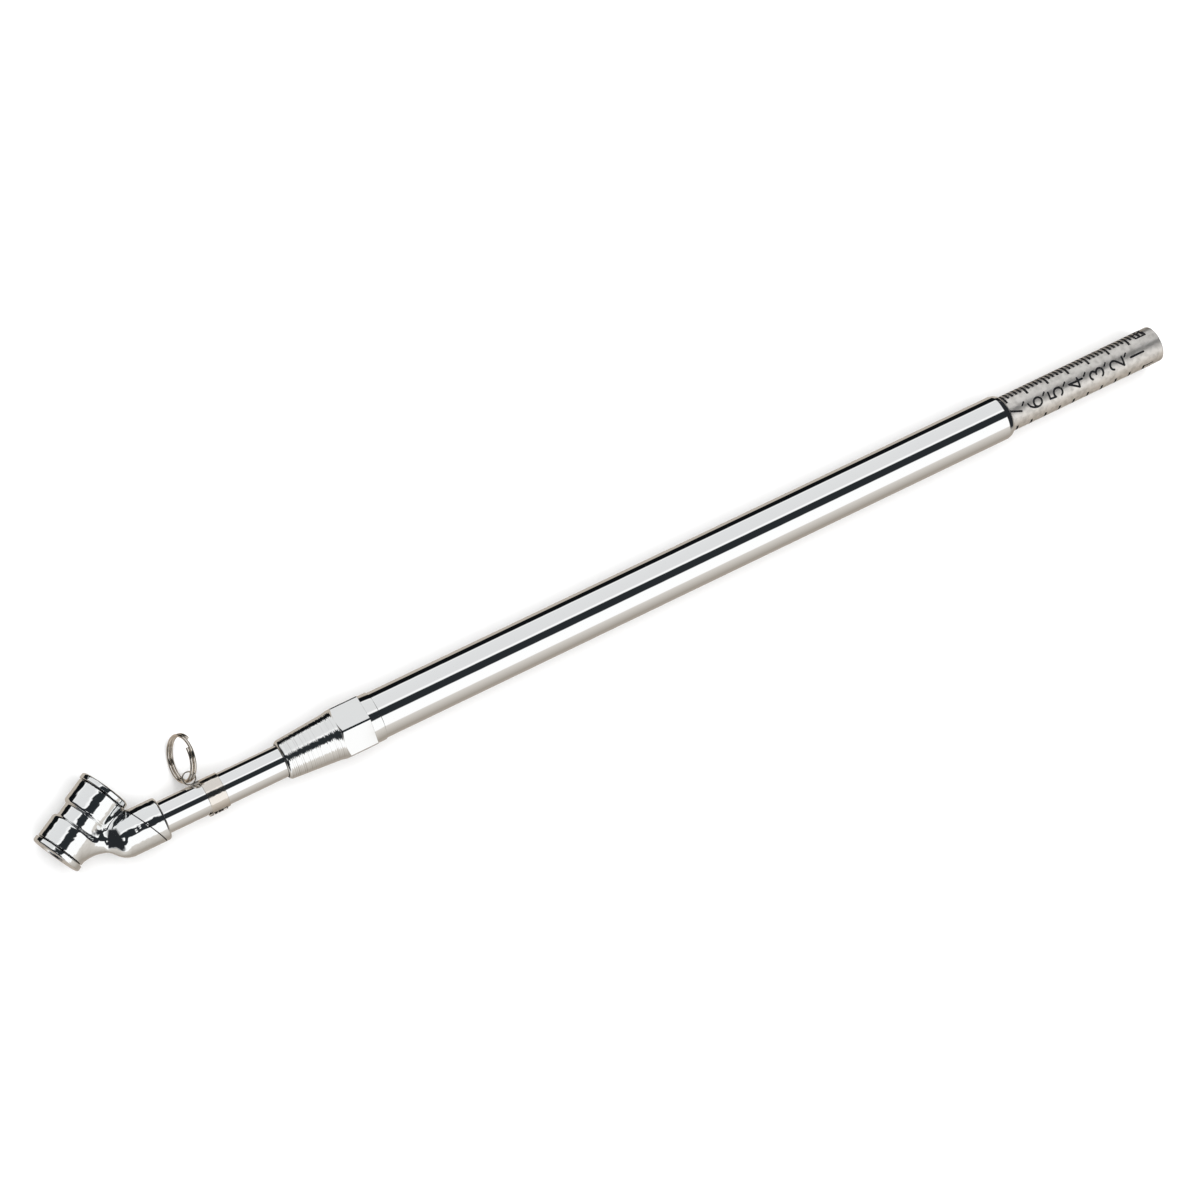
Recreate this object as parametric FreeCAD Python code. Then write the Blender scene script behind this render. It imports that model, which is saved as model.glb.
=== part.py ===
import FreeCAD, Part
import math
import os

from FreeCAD import Placement, Rotation, Vector

# A long-reach truck tyre pressure gauge, in millimetres.
# The model is built on the barrel's axis, which is X. X = 0 is where the barrel leaves
# the hex collar, and +X runs out along the barrel to the tip of the indicator.
# The head is bent towards +Y, and the gauge lies on a bench with +Z up.

# ---- barrel ----
BARREL_R = 6.75
BARREL_WALL = 0.8
BARREL_LENGTH = 206.0
MOUTH_LIP_LENGTH = 1.15
MOUTH_TAPER_LENGTH = 2.1
MOUTH_FACE_WIDTH = 0.2
MOUTH_BULGE_SHARE = 0.12

# ---- indicator tube, drawn at a held reading ----
INDICATOR_GAP = 0.55
INDICATOR_WALL = 0.7
TIP_EDGE_R = 0.8
TIP_PROUD_AT_ZERO = 3.0
READING_TRAVEL = 50.2
TRAVEL_LEFT = 26.0
CAP_DEPTH = 4.0
CAP_RECESS = 0.25
BEAD_WIDTH = 1.5
BUSH_LENGTH = 4.0
FRICTION_WIRE_R = 0.35
FRICTION_GAP_DEG = 24.0

# ---- clearances ----
RUNNING_FIT = 0.05
STOP_GAP = 0.05
STATIC_GAP = 0.02
RING_GROOVE_SHARE = 1.2
CUTTER_R = 20.0

# ---- nose adaptor: taper, hex, collar and spigot ----
NOSE_TIP_R = 5.65
NOSE_TIP_EDGE_R = 1.2
NOSE_MOUTH_CHAMFER = 0.4
TAPER_END_R = 6.8
TAPER_LENGTH = 15.1
FLARE_END_R = 7.15
FLARE_LENGTH = 1.65
HEX_ACROSS_FLATS = 14.3
HEX_LENGTH = 8.8
HEX_CORNER_R = 8.1
HEX_CHAMFER_DEG = 30.0
COLLAR_R = 7.05
COLLAR_LENGTH = 3.25
SPIGOT_LENGTH = 9.0
STEM_SOCKET_DEPTH = 6.8
NOSE_BORE_R = 3.0
ROD_BOSS_DEPTH = 9.0
AIR_HOLE_R = 0.8
AIR_HOLE_PCD_R = 3.0
AIR_HOLE_COUNT = 3
SEAL_RING_WIRE_R = 0.5
SEAL_RING_FROM_END = 2.75
SEAL_THICKNESS = 1.0

# ---- stem and head ----
STEM_R = 4.625
STEM_BORE_R = 2.5
STEM_VISIBLE = 35.3
ELBOW_R = 6.1
ELBOW_LENGTH = 10.5
ELBOW_EDGE_R = 0.9
ELBOW_SOCKET_DEPTH = 9.0
NECK_R = 3.1
NECK_RISE = 2.8
NECK_RUN = 11.4
NECK_BORE_R = 1.2

HEAD_ANGLE = 28.4
HEAD_BACK = 9.66
HEAD_OFFSET = 8.47
FOOT_R = 7.0
FOOT_BORE_R = 5.4
FOOT_LENGTH = 7.2
FOOT_SHOULDER_R = 1.0
WAIST_R = 6.1
WAIST_LENGTH = 3.9
WEB_HALF = 2.9
WEB_BORE_R = 1.6
WEB_COUNTERBORE_R = 2.4
WEB_COUNTERBORE_DEPTH = 0.5

# ---- what each foot holds ----
RIM_R = 7.3
RIM_LENGTH = 1.7
RIM_EDGE_R = 0.6
GROOVE_R = 6.6
GROOVE_WIDTH = 0.25
VALVE_BORE_R = 4.25
VALVE_MOUTH_CHAMFER = 0.5
WASHER_THICKNESS = 2.0
WASHER_HOLE_R = 2.2
PIN_DISC_THICKNESS = 1.0
PIN_R = 0.9
PIN_BELOW_FACE = 0.15
VENT_R = 0.45
VENT_PCD_R = 1.5
VENT_COUNT = 4

# ---- key ring and its clip ----
STRIP = 0.35
CLIP_WIDTH = 5.2
CLIP_FROM_NOSE = 17.6
LAP_SHIFT = 0.9
LAP_MID_DEG = 216.0
LAP_HALF_DEG = 48.0
EYE_R = 1.95
EYE_WIDTH = 1.6
EYE_FROM_CLIP = 1.74
EYE_GAP_FROM_DEG = 10.0
EYE_GAP_DEG = 35.0
RING_WIRE_R = 0.45
RING_MEAN_R = 6.37
RING_PITCH = 0.95
RING_TURNS = 1.92
RING_POINTS_PER_TURN = 50
RING_CENTRE_FROM_EYE = (0.75, 5.65, -1.54)
RING_NORMAL = (-0.907, 0.17, 0.386)
RING_START_DEG = 38.0

# ---- measuring works ----
ROD_R = 1.5
ROD_OVERHANG = 1.4
SPRING_WIRE_R = 0.65
SPRING_GAP = 0.25
SPRING_TURNS = 45
SPRING_AT_ZERO = 140.0
STOP_WASHER_GAP = 0.3
STOP_WASHER_THICKNESS = 1.2
NUT_ACROSS_FLATS = 5.5
NUT_THICKNESS = 2.4
BUMP_THICKNESS = 1.5
BUMP_BORE_R = 4.3
CUP_LENGTH = 4.5
CUP_BASE = 1.5
CUP_WALL = 1.0
RETAINER_GAP = 0.7
RETAINER_THICKNESS = 1.2
PISTON_LENGTH = 7.0
PISTON_NECK_R = 2.2
PISTON_NECK_PROUD = 0.2
PISTON_SPIGOT_GAP = 0.1
PISTON_SPIGOT_LENGTH = 2.0
ROD_SEAL_WIRE_R = 0.5
ROD_SEAL_AT = 2.6

# ---- stations along the barrel's axis, from the sizes above ----
HEX_START = -COLLAR_LENGTH - HEX_LENGTH
TAPER_END = HEX_START - FLARE_LENGTH
NOSE_TIP = TAPER_END - TAPER_LENGTH
STEM_FRONT = NOSE_TIP + STEM_SOCKET_DEPTH
SOCKET_FACE = NOSE_TIP - STEM_VISIBLE
STEM_BACK = SOCKET_FACE - ELBOW_SOCKET_DEPTH
DOME = SOCKET_FACE - ELBOW_LENGTH
HEAD_CENTRE = Vector(DOME - HEAD_BACK, HEAD_OFFSET, 0)
FOOT_END = WAIST_LENGTH / 2 + FOOT_LENGTH
RIM_START = FOOT_END + GROOVE_WIDTH
RIM_END = RIM_START + RIM_LENGTH
WASHER_BACK = WEB_HALF + PIN_DISC_THICKNESS
WASHER_FACE = WASHER_BACK + WASHER_THICKNESS

BARREL_BORE_R = BARREL_R - BARREL_WALL
INDICATOR_R = BARREL_BORE_R - INDICATOR_GAP
INDICATOR_BORE_R = INDICATOR_R - INDICATOR_WALL
LIP_R = INDICATOR_R + RUNNING_FIT
RIDE_R = BARREL_BORE_R - RUNNING_FIT
RETAINER_R = RIDE_R - CUP_WALL - RETAINER_GAP
SPRING_MEAN_R = INDICATOR_BORE_R - SPRING_GAP - SPRING_WIRE_R
PISTON_SPIGOT_R = SPRING_MEAN_R - SPRING_WIRE_R - PISTON_SPIGOT_GAP
STOP_WASHER_R = INDICATOR_BORE_R - STOP_WASHER_GAP
LIP_START = BARREL_LENGTH - MOUTH_LIP_LENGTH - (BARREL_BORE_R - LIP_R)
TIP = BARREL_LENGTH + TIP_PROUD_AT_ZERO + READING_TRAVEL
CUP_START = SPIGOT_LENGTH + BUMP_THICKNESS + STOP_GAP + READING_TRAVEL
PISTON_BACK = CUP_START + CUP_LENGTH
PISTON_FACE = PISTON_BACK + PISTON_LENGTH
TAIL = PISTON_FACE + STOP_GAP
BEAD_END = LIP_START - TRAVEL_LEFT - STOP_GAP
SPRING_STOP = PISTON_FACE - READING_TRAVEL + SPRING_AT_ZERO
CLIP_MID = NOSE_TIP - CLIP_FROM_NOSE - CLIP_WIDTH / 2
EYE_CENTRE = Vector(CLIP_MID - CLIP_WIDTH / 2 - EYE_FROM_CLIP, STEM_R + EYE_R, 0)

X_AXIS = Vector(1, 0, 0)
Y_AXIS = Vector(0, 1, 0)
Z_AXIS = Vector(0, 0, 1)


def turned(outline):
    """A solid turned about X from (x, radius) points."""
    points = [Vector(x, r, 0) for x, r in outline]
    face = Part.Face(Part.makePolygon(points + points[:1]))
    return face.revolve(Vector(0, 0, 0), X_AXIS, 360)


def rod(start, end, radius):
    """A plain cylinder along X."""
    return Part.makeCylinder(radius, end - start, Vector(start, 0, 0), X_AXIS)


def tube(start, end, outer, inner):
    """A plain pipe along X."""
    return rod(start, end, outer).cut(rod(start, end, inner))


def wire_ring(x, mean_r, wire_r):
    """A round-section ring about X."""
    return Part.makeTorus(mean_r, wire_r, Vector(x, 0, 0), X_AXIS)


def circle_edges(solid, x, radius):
    """The solid's circular edges about X at one place."""
    found = []
    for edge in solid.Edges:
        curve = edge.Curve
        if not isinstance(curve, Part.Circle):
            continue
        if abs(curve.Center.x - x) < 1e-4 and abs(curve.Radius - radius) < 1e-4:
            found.append(edge)
    return found


def rounded(solid, x, radius, edge_r):
    """The solid with one turned edge rounded."""
    return solid.makeFillet(edge_r, circle_edges(solid, x, radius))


def hex_bar(start, end, across_flats):
    """A hexagonal bar along X with two corners on the Z axis."""
    corner = across_flats / math.sqrt(3)
    angles = [math.radians(90 + 60 * i) for i in range(7)]
    points = [Vector(start, corner * math.cos(a), corner * math.sin(a)) for a in angles]
    return Part.Face(Part.makePolygon(points)).extrude(Vector(end - start, 0, 0))


def spaced_round(shape, count):
    """Copies of a shape, evenly spaced about X, as one cutter."""
    copies = []
    for i in range(count):
        copy = shape.copy()
        copy.rotate(Vector(0, 0, 0), X_AXIS, 360 * i / count)
        copies.append(copy)
    return copies[0].multiFuse(copies[1:]) if count > 1 else copies[0]


def sector(start, end, radius, from_deg, to_deg):
    """A pie slice about X, from one angle to another, counted from +Y towards +Z."""
    wedge = Part.makeCylinder(radius, end - start, Vector(0, 0, 0), Z_AXIS, to_deg - from_deg)
    wedge.rotate(Vector(0, 0, 0), Z_AXIS, from_deg)
    wedge.Placement = Placement(Vector(start, 0, 0), Rotation(Y_AXIS, Z_AXIS, X_AXIS)).multiply(
        wedge.Placement
    )
    return wedge


def on_head(shape, faces_back):
    """Puts a piece made along +X from the head's centre into one of the two feet."""
    placed = shape.copy()
    if not faces_back:
        placed.rotate(Vector(0, 0, 0), Z_AXIS, 180)
    placed.rotate(Vector(0, 0, 0), Z_AXIS, HEAD_ANGLE)
    placed.translate(HEAD_CENTRE)
    return placed


def foot_outside():
    """One foot of the chuck, with its rounded shoulder down to the waist."""
    foot = rod(WAIST_LENGTH / 2, FOOT_END, FOOT_R)
    return rounded(foot, WAIST_LENGTH / 2, FOOT_R, FOOT_SHOULDER_R)


def neck_axis():
    """The neck's start at the elbow, and its direction towards the head."""
    start = Vector(DOME, 0, 0)
    direction = Vector(-NECK_RUN, NECK_RISE, 0)
    return start, direction


def chuck_head():
    """The one-piece casting: two feet back to back, a short neck and the elbow's socket."""
    start, direction = neck_axis()
    neck = Part.makeCylinder(NECK_R, direction.Length, start, direction)
    elbow = rod(DOME, SOCKET_FACE, ELBOW_R)
    elbow = rounded(elbow, SOCKET_FACE, ELBOW_R, ELBOW_EDGE_R)
    dome = Part.makeSphere(ELBOW_R, start)
    waist = rod(-WAIST_LENGTH / 2 - FOOT_SHOULDER_R, WAIST_LENGTH / 2 + FOOT_SHOULDER_R, WAIST_R)
    outside = [on_head(waist, True)]
    inside = [on_head(rod(-FOOT_END, FOOT_END, WEB_BORE_R), True)]
    for faces_back in (True, False):
        outside.append(on_head(foot_outside(), faces_back))
        inside.append(on_head(rod(WEB_HALF, FOOT_END, FOOT_BORE_R), faces_back))
        recess = rod(WEB_HALF - WEB_COUNTERBORE_DEPTH, WEB_HALF, WEB_COUNTERBORE_R)
        inside.append(on_head(recess, faces_back))
    body = elbow.multiFuse([dome, neck] + outside)

    # The air way: along the neck to under the waist, then straight in to the web's bore.
    cross = neck_meets_waist()
    inside.append(rod(STEM_BACK, SOCKET_FACE, STEM_R))
    inside.append(rod(DOME, STEM_BACK, NECK_BORE_R))
    inside.append(Part.makeCylinder(NECK_BORE_R, (cross - start).Length, start, direction))
    inside.append(Part.makeSphere(NECK_BORE_R, cross))
    inwards = Vector(-math.sin(math.radians(HEAD_ANGLE)), math.cos(math.radians(HEAD_ANGLE)), 0)
    to_web = (HEAD_CENTRE - cross).dot(inwards)
    inside.append(Part.makeCylinder(NECK_BORE_R, to_web, cross, inwards))
    return body.cut(inside).removeSplitter()


def neck_meets_waist():
    """Where the neck's axis passes under the middle of the waist."""
    start, direction = neck_axis()
    along = Vector(math.cos(math.radians(HEAD_ANGLE)), math.sin(math.radians(HEAD_ANGLE)), 0)
    reach = (HEAD_CENTRE - start).dot(along) / direction.dot(along)
    return start + direction * reach


def seat_ring():
    """The screwed-in ring of a foot: a rim outside, and a skirt that holds the washer."""
    ring = turned([
        (WASHER_FACE, VALVE_BORE_R),
        (WASHER_FACE, FOOT_BORE_R),
        (FOOT_END, FOOT_BORE_R),
        (FOOT_END, GROOVE_R),
        (RIM_START, GROOVE_R),
        (RIM_START, RIM_R),
        (RIM_END, RIM_R),
        (RIM_END, VALVE_BORE_R + VALVE_MOUTH_CHAMFER),
        (RIM_END - VALVE_MOUTH_CHAMFER, VALVE_BORE_R),
    ])
    return rounded(ring, RIM_END, RIM_R, RIM_EDGE_R)


def seal_washer():
    """The rubber washer that the tyre valve is pressed against."""
    return tube(WASHER_BACK, WASHER_FACE, FOOT_BORE_R, WASHER_HOLE_R)


def core_pin():
    """The pin that opens the tyre valve's core, on a disc with vent holes."""
    disc = rod(WEB_HALF, WASHER_BACK, FOOT_BORE_R)
    pin = rod(WEB_HALF, WASHER_FACE - PIN_BELOW_FACE, PIN_R)
    vent = rod(WEB_HALF, WASHER_BACK, VENT_R)
    vent.translate(Vector(0, VENT_PCD_R, 0))
    return disc.fuse(pin).cut(spaced_round(vent, VENT_COUNT)).removeSplitter()


def stem_tube():
    """The thick brass tube between the head and the nose."""
    return tube(STEM_BACK, STEM_FRONT, STEM_R, STEM_BORE_R)


def nose_adaptor():
    """The turned nose: taper, spanner hex, collar, and the spigot that the barrel screws on."""
    flare = turned([
        (NOSE_TIP, 0),
        (NOSE_TIP, NOSE_TIP_R),
        (TAPER_END, TAPER_END_R),
        (HEX_START, FLARE_END_R),
        (0, FLARE_END_R),
        (0, 0),
    ])
    flare = rounded(flare, NOSE_TIP, NOSE_TIP_R, NOSE_TIP_EDGE_R)
    flare = flare.common(rod(NOSE_TIP, HEX_START, CUTTER_R))
    corner_drop = HEX_CORNER_R - FLARE_END_R
    chamfer = corner_drop * math.tan(math.radians(HEX_CHAMFER_DEG))
    crown = turned([
        (HEX_START, 0),
        (HEX_START, FLARE_END_R),
        (HEX_START + chamfer, HEX_CORNER_R),
        (-COLLAR_LENGTH, HEX_CORNER_R),
        (-COLLAR_LENGTH, 0),
    ])
    hexagon = hex_bar(HEX_START, -COLLAR_LENGTH, HEX_ACROSS_FLATS).common(crown)
    collar = rod(-COLLAR_LENGTH, 0, COLLAR_R)
    spigot = rod(0, SPIGOT_LENGTH, BARREL_BORE_R)
    body = flare.multiFuse([hexagon, collar, spigot])

    ring_at = SPIGOT_LENGTH - SEAL_RING_FROM_END
    groove = RING_GROOVE_SHARE * SEAL_RING_WIRE_R
    groove_floor = BARREL_BORE_R - 2 * (SEAL_RING_WIRE_R + STATIC_GAP)
    boss = SPIGOT_LENGTH - 2 * ROD_BOSS_DEPTH
    air = rod(boss - AIR_HOLE_R, SPIGOT_LENGTH, AIR_HOLE_R)
    air.translate(Vector(0, AIR_HOLE_PCD_R, 0))
    cutters = [
        rod(NOSE_TIP, STEM_FRONT + SEAL_THICKNESS, STEM_R),
        Part.makeCone(
            STEM_R + NOSE_MOUTH_CHAMFER, STEM_R, NOSE_MOUTH_CHAMFER, Vector(NOSE_TIP, 0, 0), X_AXIS
        ),
        rod(STEM_FRONT, boss, NOSE_BORE_R),
        rod(boss, SPIGOT_LENGTH, ROD_R),
        spaced_round(air, AIR_HOLE_COUNT),
        tube(ring_at - groove, ring_at + groove, CUTTER_R, groove_floor),
    ]
    return body.cut(cutters).removeSplitter()


def stem_seal():
    """The fibre washer between the stem's end and the nose."""
    return tube(STEM_FRONT, STEM_FRONT + SEAL_THICKNESS, STEM_R, NOSE_BORE_R)


def barrel_seal_ring():
    """The O-ring round the spigot, inside the barrel."""
    mean_r = BARREL_BORE_R - SEAL_RING_WIRE_R - STATIC_GAP
    return wire_ring(SPIGOT_LENGTH - SEAL_RING_FROM_END, mean_r, SEAL_RING_WIRE_R)


def barrel():
    """The long tube, with its far end rolled in to a lip that guides the indicator."""
    taper_start = BARREL_LENGTH - MOUTH_TAPER_LENGTH
    mouth_r = LIP_R + MOUTH_FACE_WIDTH
    lean = math.hypot(MOUTH_TAPER_LENGTH, BARREL_R - mouth_r)
    bulge = MOUTH_BULGE_SHARE * lean
    middle = Vector(
        (taper_start + BARREL_LENGTH) / 2 + bulge * (BARREL_R - mouth_r) / lean,
        (BARREL_R + mouth_r) / 2 + bulge * MOUTH_TAPER_LENGTH / lean,
        0,
    )
    start = Vector(taper_start, BARREL_R, 0)
    end = Vector(BARREL_LENGTH, mouth_r, 0)
    rolled = Part.Arc(start, middle, end).toShape()
    rest = Part.makePolygon([
        end,
        Vector(BARREL_LENGTH, LIP_R, 0),
        Vector(LIP_START + BARREL_BORE_R - LIP_R, LIP_R, 0),
        Vector(LIP_START, BARREL_BORE_R, 0),
        Vector(0, BARREL_BORE_R, 0),
        Vector(0, BARREL_R, 0),
        start,
    ])
    outline = Part.Wire([rolled] + rest.Edges)
    return Part.Face(outline).revolve(Vector(0, 0, 0), X_AXIS, 360)


def bump_washer():
    """The rubber buffer that the piston comes home against."""
    return tube(SPIGOT_LENGTH, SPIGOT_LENGTH + BUMP_THICKNESS, RIDE_R, BUMP_BORE_R)


def spring_rod():
    """The fixed centre rod that carries the spring's stop."""
    end = SPRING_STOP + STOP_WASHER_THICKNESS + NUT_THICKNESS + ROD_OVERHANG
    return rod(SPIGOT_LENGTH - 2 * ROD_BOSS_DEPTH, end, ROD_R)


def spring_stop_washer():
    """The washer that the spring pushes against."""
    return tube(SPRING_STOP, SPRING_STOP + STOP_WASHER_THICKNESS, STOP_WASHER_R, ROD_R)


def rod_lock_nut():
    """The nut that sets the spring's preload, and so the reading."""
    start = SPRING_STOP + STOP_WASHER_THICKNESS
    nut = hex_bar(start, start + NUT_THICKNESS, NUT_ACROSS_FLATS)
    return nut.cut(rod(start, start + NUT_THICKNESS, ROD_R))


def piston():
    """The brass piston, which slides on the rod and pushes the indicator tube."""
    neck_start = PISTON_BACK - CUP_BASE - RETAINER_THICKNESS - PISTON_NECK_PROUD
    seal_at = PISTON_BACK + ROD_SEAL_AT
    groove = RING_GROOVE_SHARE * ROD_SEAL_WIRE_R
    body = rod(neck_start, PISTON_BACK, PISTON_NECK_R).multiFuse([
        rod(PISTON_BACK, PISTON_FACE, RIDE_R),
        rod(PISTON_FACE, PISTON_FACE + PISTON_SPIGOT_LENGTH, PISTON_SPIGOT_R),
    ])
    bore_r = ROD_R + RUNNING_FIT
    body = body.cut([
        rod(neck_start, PISTON_FACE + PISTON_SPIGOT_LENGTH, bore_r),
        rod(seal_at - groove, seal_at + groove, bore_r + 2 * ROD_SEAL_WIRE_R),
    ])
    return body.removeSplitter()


def piston_o_ring():
    """The small O-ring inside the piston, round the rod."""
    mean_r = ROD_R + RUNNING_FIT + ROD_SEAL_WIRE_R
    return wire_ring(PISTON_BACK + ROD_SEAL_AT, mean_r, ROD_SEAL_WIRE_R)


def cup_seal():
    """The leather-type cup that the air presses on, open towards the nose."""
    lip_r = RIDE_R - CUP_WALL
    return turned([
        (CUP_START, lip_r),
        (CUP_START, RIDE_R),
        (PISTON_BACK, RIDE_R),
        (PISTON_BACK, PISTON_NECK_R),
        (PISTON_BACK - CUP_BASE, PISTON_NECK_R),
        (PISTON_BACK - CUP_BASE, lip_r),
    ])


def cup_retainer():
    """The ring nut that clamps the cup to the piston."""
    end = PISTON_BACK - CUP_BASE
    return tube(end - RETAINER_THICKNESS, end, RETAINER_R, PISTON_NECK_R)


def main_spring():
    """The calibrated compression spring, pressed short by the reading."""
    length = SPRING_STOP - PISTON_FACE
    height = length - 2 * (SPRING_WIRE_R + STATIC_GAP)
    pitch = height / SPRING_TURNS
    helix = Part.makeHelix(pitch, height, SPRING_MEAN_R)
    section = Part.Wire(Part.makeCircle(SPRING_WIRE_R, Vector(SPRING_MEAN_R, 0, 0), Y_AXIS))
    coil = Part.Wire(helix.Edges).makePipeShell([section], True, True)
    coil.Placement = Placement(
        Vector(PISTON_FACE + SPRING_WIRE_R + STATIC_GAP, 0, 0), Rotation(Y_AXIS, 90)
    )
    return coil


def indicator_tube():
    """The sliding tube that carries the scale, with a stop bead swaged round its middle."""
    groove = RING_GROOVE_SHARE * FRICTION_WIRE_R
    ring_at = BEAD_END - BEAD_WIDTH - groove
    body = rounded(rod(TAIL, TIP, INDICATOR_R), TIP, INDICATOR_R, TIP_EDGE_R)
    body = body.fuse(rod(BEAD_END - BEAD_WIDTH, BEAD_END, RIDE_R))
    groove_floor = RIDE_R - 2 * FRICTION_WIRE_R - STATIC_GAP
    body = body.cut([
        rod(TAIL, TIP, INDICATOR_BORE_R),
        tube(ring_at - groove, ring_at + groove, CUTTER_R, groove_floor),
    ])
    return body.removeSplitter()


def indicator_end_cap():
    """The plug pressed into the indicator's tip."""
    return rod(TIP - CAP_RECESS - CAP_DEPTH, TIP - CAP_RECESS, INDICATOR_BORE_R)


def tail_bush():
    """The guide bush pressed on the indicator's inner end."""
    return tube(TAIL, TAIL + BUSH_LENGTH, RIDE_R, INDICATOR_R)


def friction_ring():
    """The split wire ring whose drag on the bore holds the reading."""
    ring_at = BEAD_END - BEAD_WIDTH - RING_GROOVE_SHARE * FRICTION_WIRE_R
    ring = wire_ring(ring_at, RIDE_R - FRICTION_WIRE_R, FRICTION_WIRE_R)
    gap = sector(
        ring_at - 2 * FRICTION_WIRE_R, ring_at + 2 * FRICTION_WIRE_R, CUTTER_R, 0, FRICTION_GAP_DEG
    )
    return ring.cut(gap)


def ring_clip():
    """A sheet-metal band round the stem, its ends lapped below, with a tab curled to an eye."""
    left = CLIP_MID - CLIP_WIDTH / 2
    band = tube(left, left + CLIP_WIDTH, STEM_R + STRIP, STEM_R)
    lap = tube(left - LAP_SHIFT, left - LAP_SHIFT + CLIP_WIDTH, STEM_R + 2 * STRIP, STEM_R + STRIP)
    lap = lap.common(sector(
        left - LAP_SHIFT, left + CLIP_WIDTH, CUTTER_R,
        LAP_MID_DEG - LAP_HALF_DEG, LAP_MID_DEG + LAP_HALF_DEG
    ))
    eye_low = EYE_CENTRE - Vector(0, 0, EYE_WIDTH / 2)
    eye = Part.makeCylinder(EYE_R, EYE_WIDTH, eye_low, Z_AXIS)
    eye = eye.cut(Part.makeCylinder(EYE_R - STRIP, EYE_WIDTH, eye_low, Z_AXIS))
    gap = Part.makeCylinder(2 * EYE_R, EYE_WIDTH, eye_low, Z_AXIS, EYE_GAP_DEG)
    gap.rotate(eye_low, Z_AXIS, EYE_GAP_FROM_DEG)
    tab = Part.makeBox(
        left + STRIP - EYE_CENTRE.x, STRIP, EYE_WIDTH,
        Vector(EYE_CENTRE.x, EYE_CENTRE.y - EYE_R, -EYE_WIDTH / 2)
    )
    eye = eye.cut(gap).fuse(tab)
    eye = eye.cut(rod(left - 3 * EYE_R, left + CLIP_WIDTH, STEM_R))
    return band.multiFuse([lap, eye]).removeSplitter()


def split_ring():
    """The key ring: two turns of wire, hung through the clip's eye."""
    height = RING_PITCH * RING_TURNS
    steps = math.ceil(RING_TURNS * RING_POINTS_PER_TURN)
    points = []
    for i in range(steps + 1):
        turned_by = 2 * math.pi * RING_TURNS * i / steps
        points.append(Vector(
            RING_MEAN_R * math.cos(turned_by), RING_MEAN_R * math.sin(turned_by), height * i / steps
        ))
    path = Part.BSplineCurve()
    path.interpolate(points)
    end_direction = path.tangent(path.FirstParameter)[0]
    section = Part.Wire(Part.makeCircle(RING_WIRE_R, points[0], end_direction))
    ring = Part.Wire([path.toShape()]).makePipeShell([section], True, True)
    ring.translate(Vector(0, 0, -height / 2))
    ring.rotate(Vector(0, 0, 0), Z_AXIS, RING_START_DEG)
    turn = Rotation(Z_AXIS, Vector(*RING_NORMAL))
    ring.Placement = Placement(EYE_CENTRE + Vector(*RING_CENTRE_FROM_EYE), turn).multiply(
        ring.Placement
    )
    return ring


def nodes():
    """Every piece by name, on the barrel's own axes."""
    pieces = {"chuck_head": chuck_head()}
    for side, faces_back in (("front", False), ("rear", True)):
        pieces[side + "_core_pin"] = on_head(core_pin(), faces_back)
        pieces[side + "_seal_washer"] = on_head(seal_washer(), faces_back)
        pieces[side + "_seat_ring"] = on_head(seat_ring(), faces_back)
    makers = [
        stem_tube, ring_clip, split_ring, nose_adaptor, stem_seal, barrel_seal_ring, barrel,
        bump_washer, spring_rod, spring_stop_washer, rod_lock_nut, main_spring, piston,
        piston_o_ring, cup_seal, cup_retainer, indicator_tube, indicator_end_cap, tail_bush,
        friction_ring,
    ]
    for maker in makers:
        pieces[maker.__name__] = maker()
    return pieces


def main():
    """Writes one STEP per piece, with the origin at the middle of the gauge's base."""
    os.makedirs("parts", exist_ok=True)
    pieces = nodes()
    box = FreeCAD.BoundBox()
    for shape in pieces.values():
        box.add(shape.optimalBoundingBox(False))
    shift = Vector(-box.Center.x, -box.Center.y, -box.ZMin)
    for name, shape in pieces.items():
        placed = shape.copy()
        placed.translate(shift)
        placed.exportStep("parts/" + name + ".step")
        print(name, len(placed.Solids), placed.isValid(), round(placed.Volume, 2))
    print("shift", shift)


main()
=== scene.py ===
import itertools
import math

import bpy
import numpy as np
from mathutils import Matrix, Vector


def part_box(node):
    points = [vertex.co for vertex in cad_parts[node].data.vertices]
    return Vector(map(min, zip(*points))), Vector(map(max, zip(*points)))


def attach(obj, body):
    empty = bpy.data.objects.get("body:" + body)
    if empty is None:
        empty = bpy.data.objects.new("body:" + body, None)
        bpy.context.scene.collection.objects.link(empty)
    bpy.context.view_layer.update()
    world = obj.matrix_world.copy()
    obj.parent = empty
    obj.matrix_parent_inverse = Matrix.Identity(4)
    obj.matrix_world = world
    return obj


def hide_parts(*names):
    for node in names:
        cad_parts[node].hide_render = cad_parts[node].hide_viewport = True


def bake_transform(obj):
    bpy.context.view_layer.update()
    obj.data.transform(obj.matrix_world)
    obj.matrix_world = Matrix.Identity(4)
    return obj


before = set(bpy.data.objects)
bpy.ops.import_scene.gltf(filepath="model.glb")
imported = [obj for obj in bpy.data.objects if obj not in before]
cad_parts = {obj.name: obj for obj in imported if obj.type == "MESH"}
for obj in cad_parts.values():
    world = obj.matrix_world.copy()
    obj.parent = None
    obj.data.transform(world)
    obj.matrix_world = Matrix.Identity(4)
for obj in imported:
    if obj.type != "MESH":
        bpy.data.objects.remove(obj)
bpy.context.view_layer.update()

# A long-reach truck tyre gauge, put together from the chuck outwards. Sizes are in millimetres,
# counted from where the barrel starts on its own axis: +X to the indicator's tip, +Z up.
MM = 0.001
barrel_low, barrel_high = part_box("barrel")
BARREL_START = np.array([
    barrel_low.x,
    (barrel_low.y + barrel_high.y) / 2,
    (barrel_low.z + barrel_high.z) / 2,
])


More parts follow.
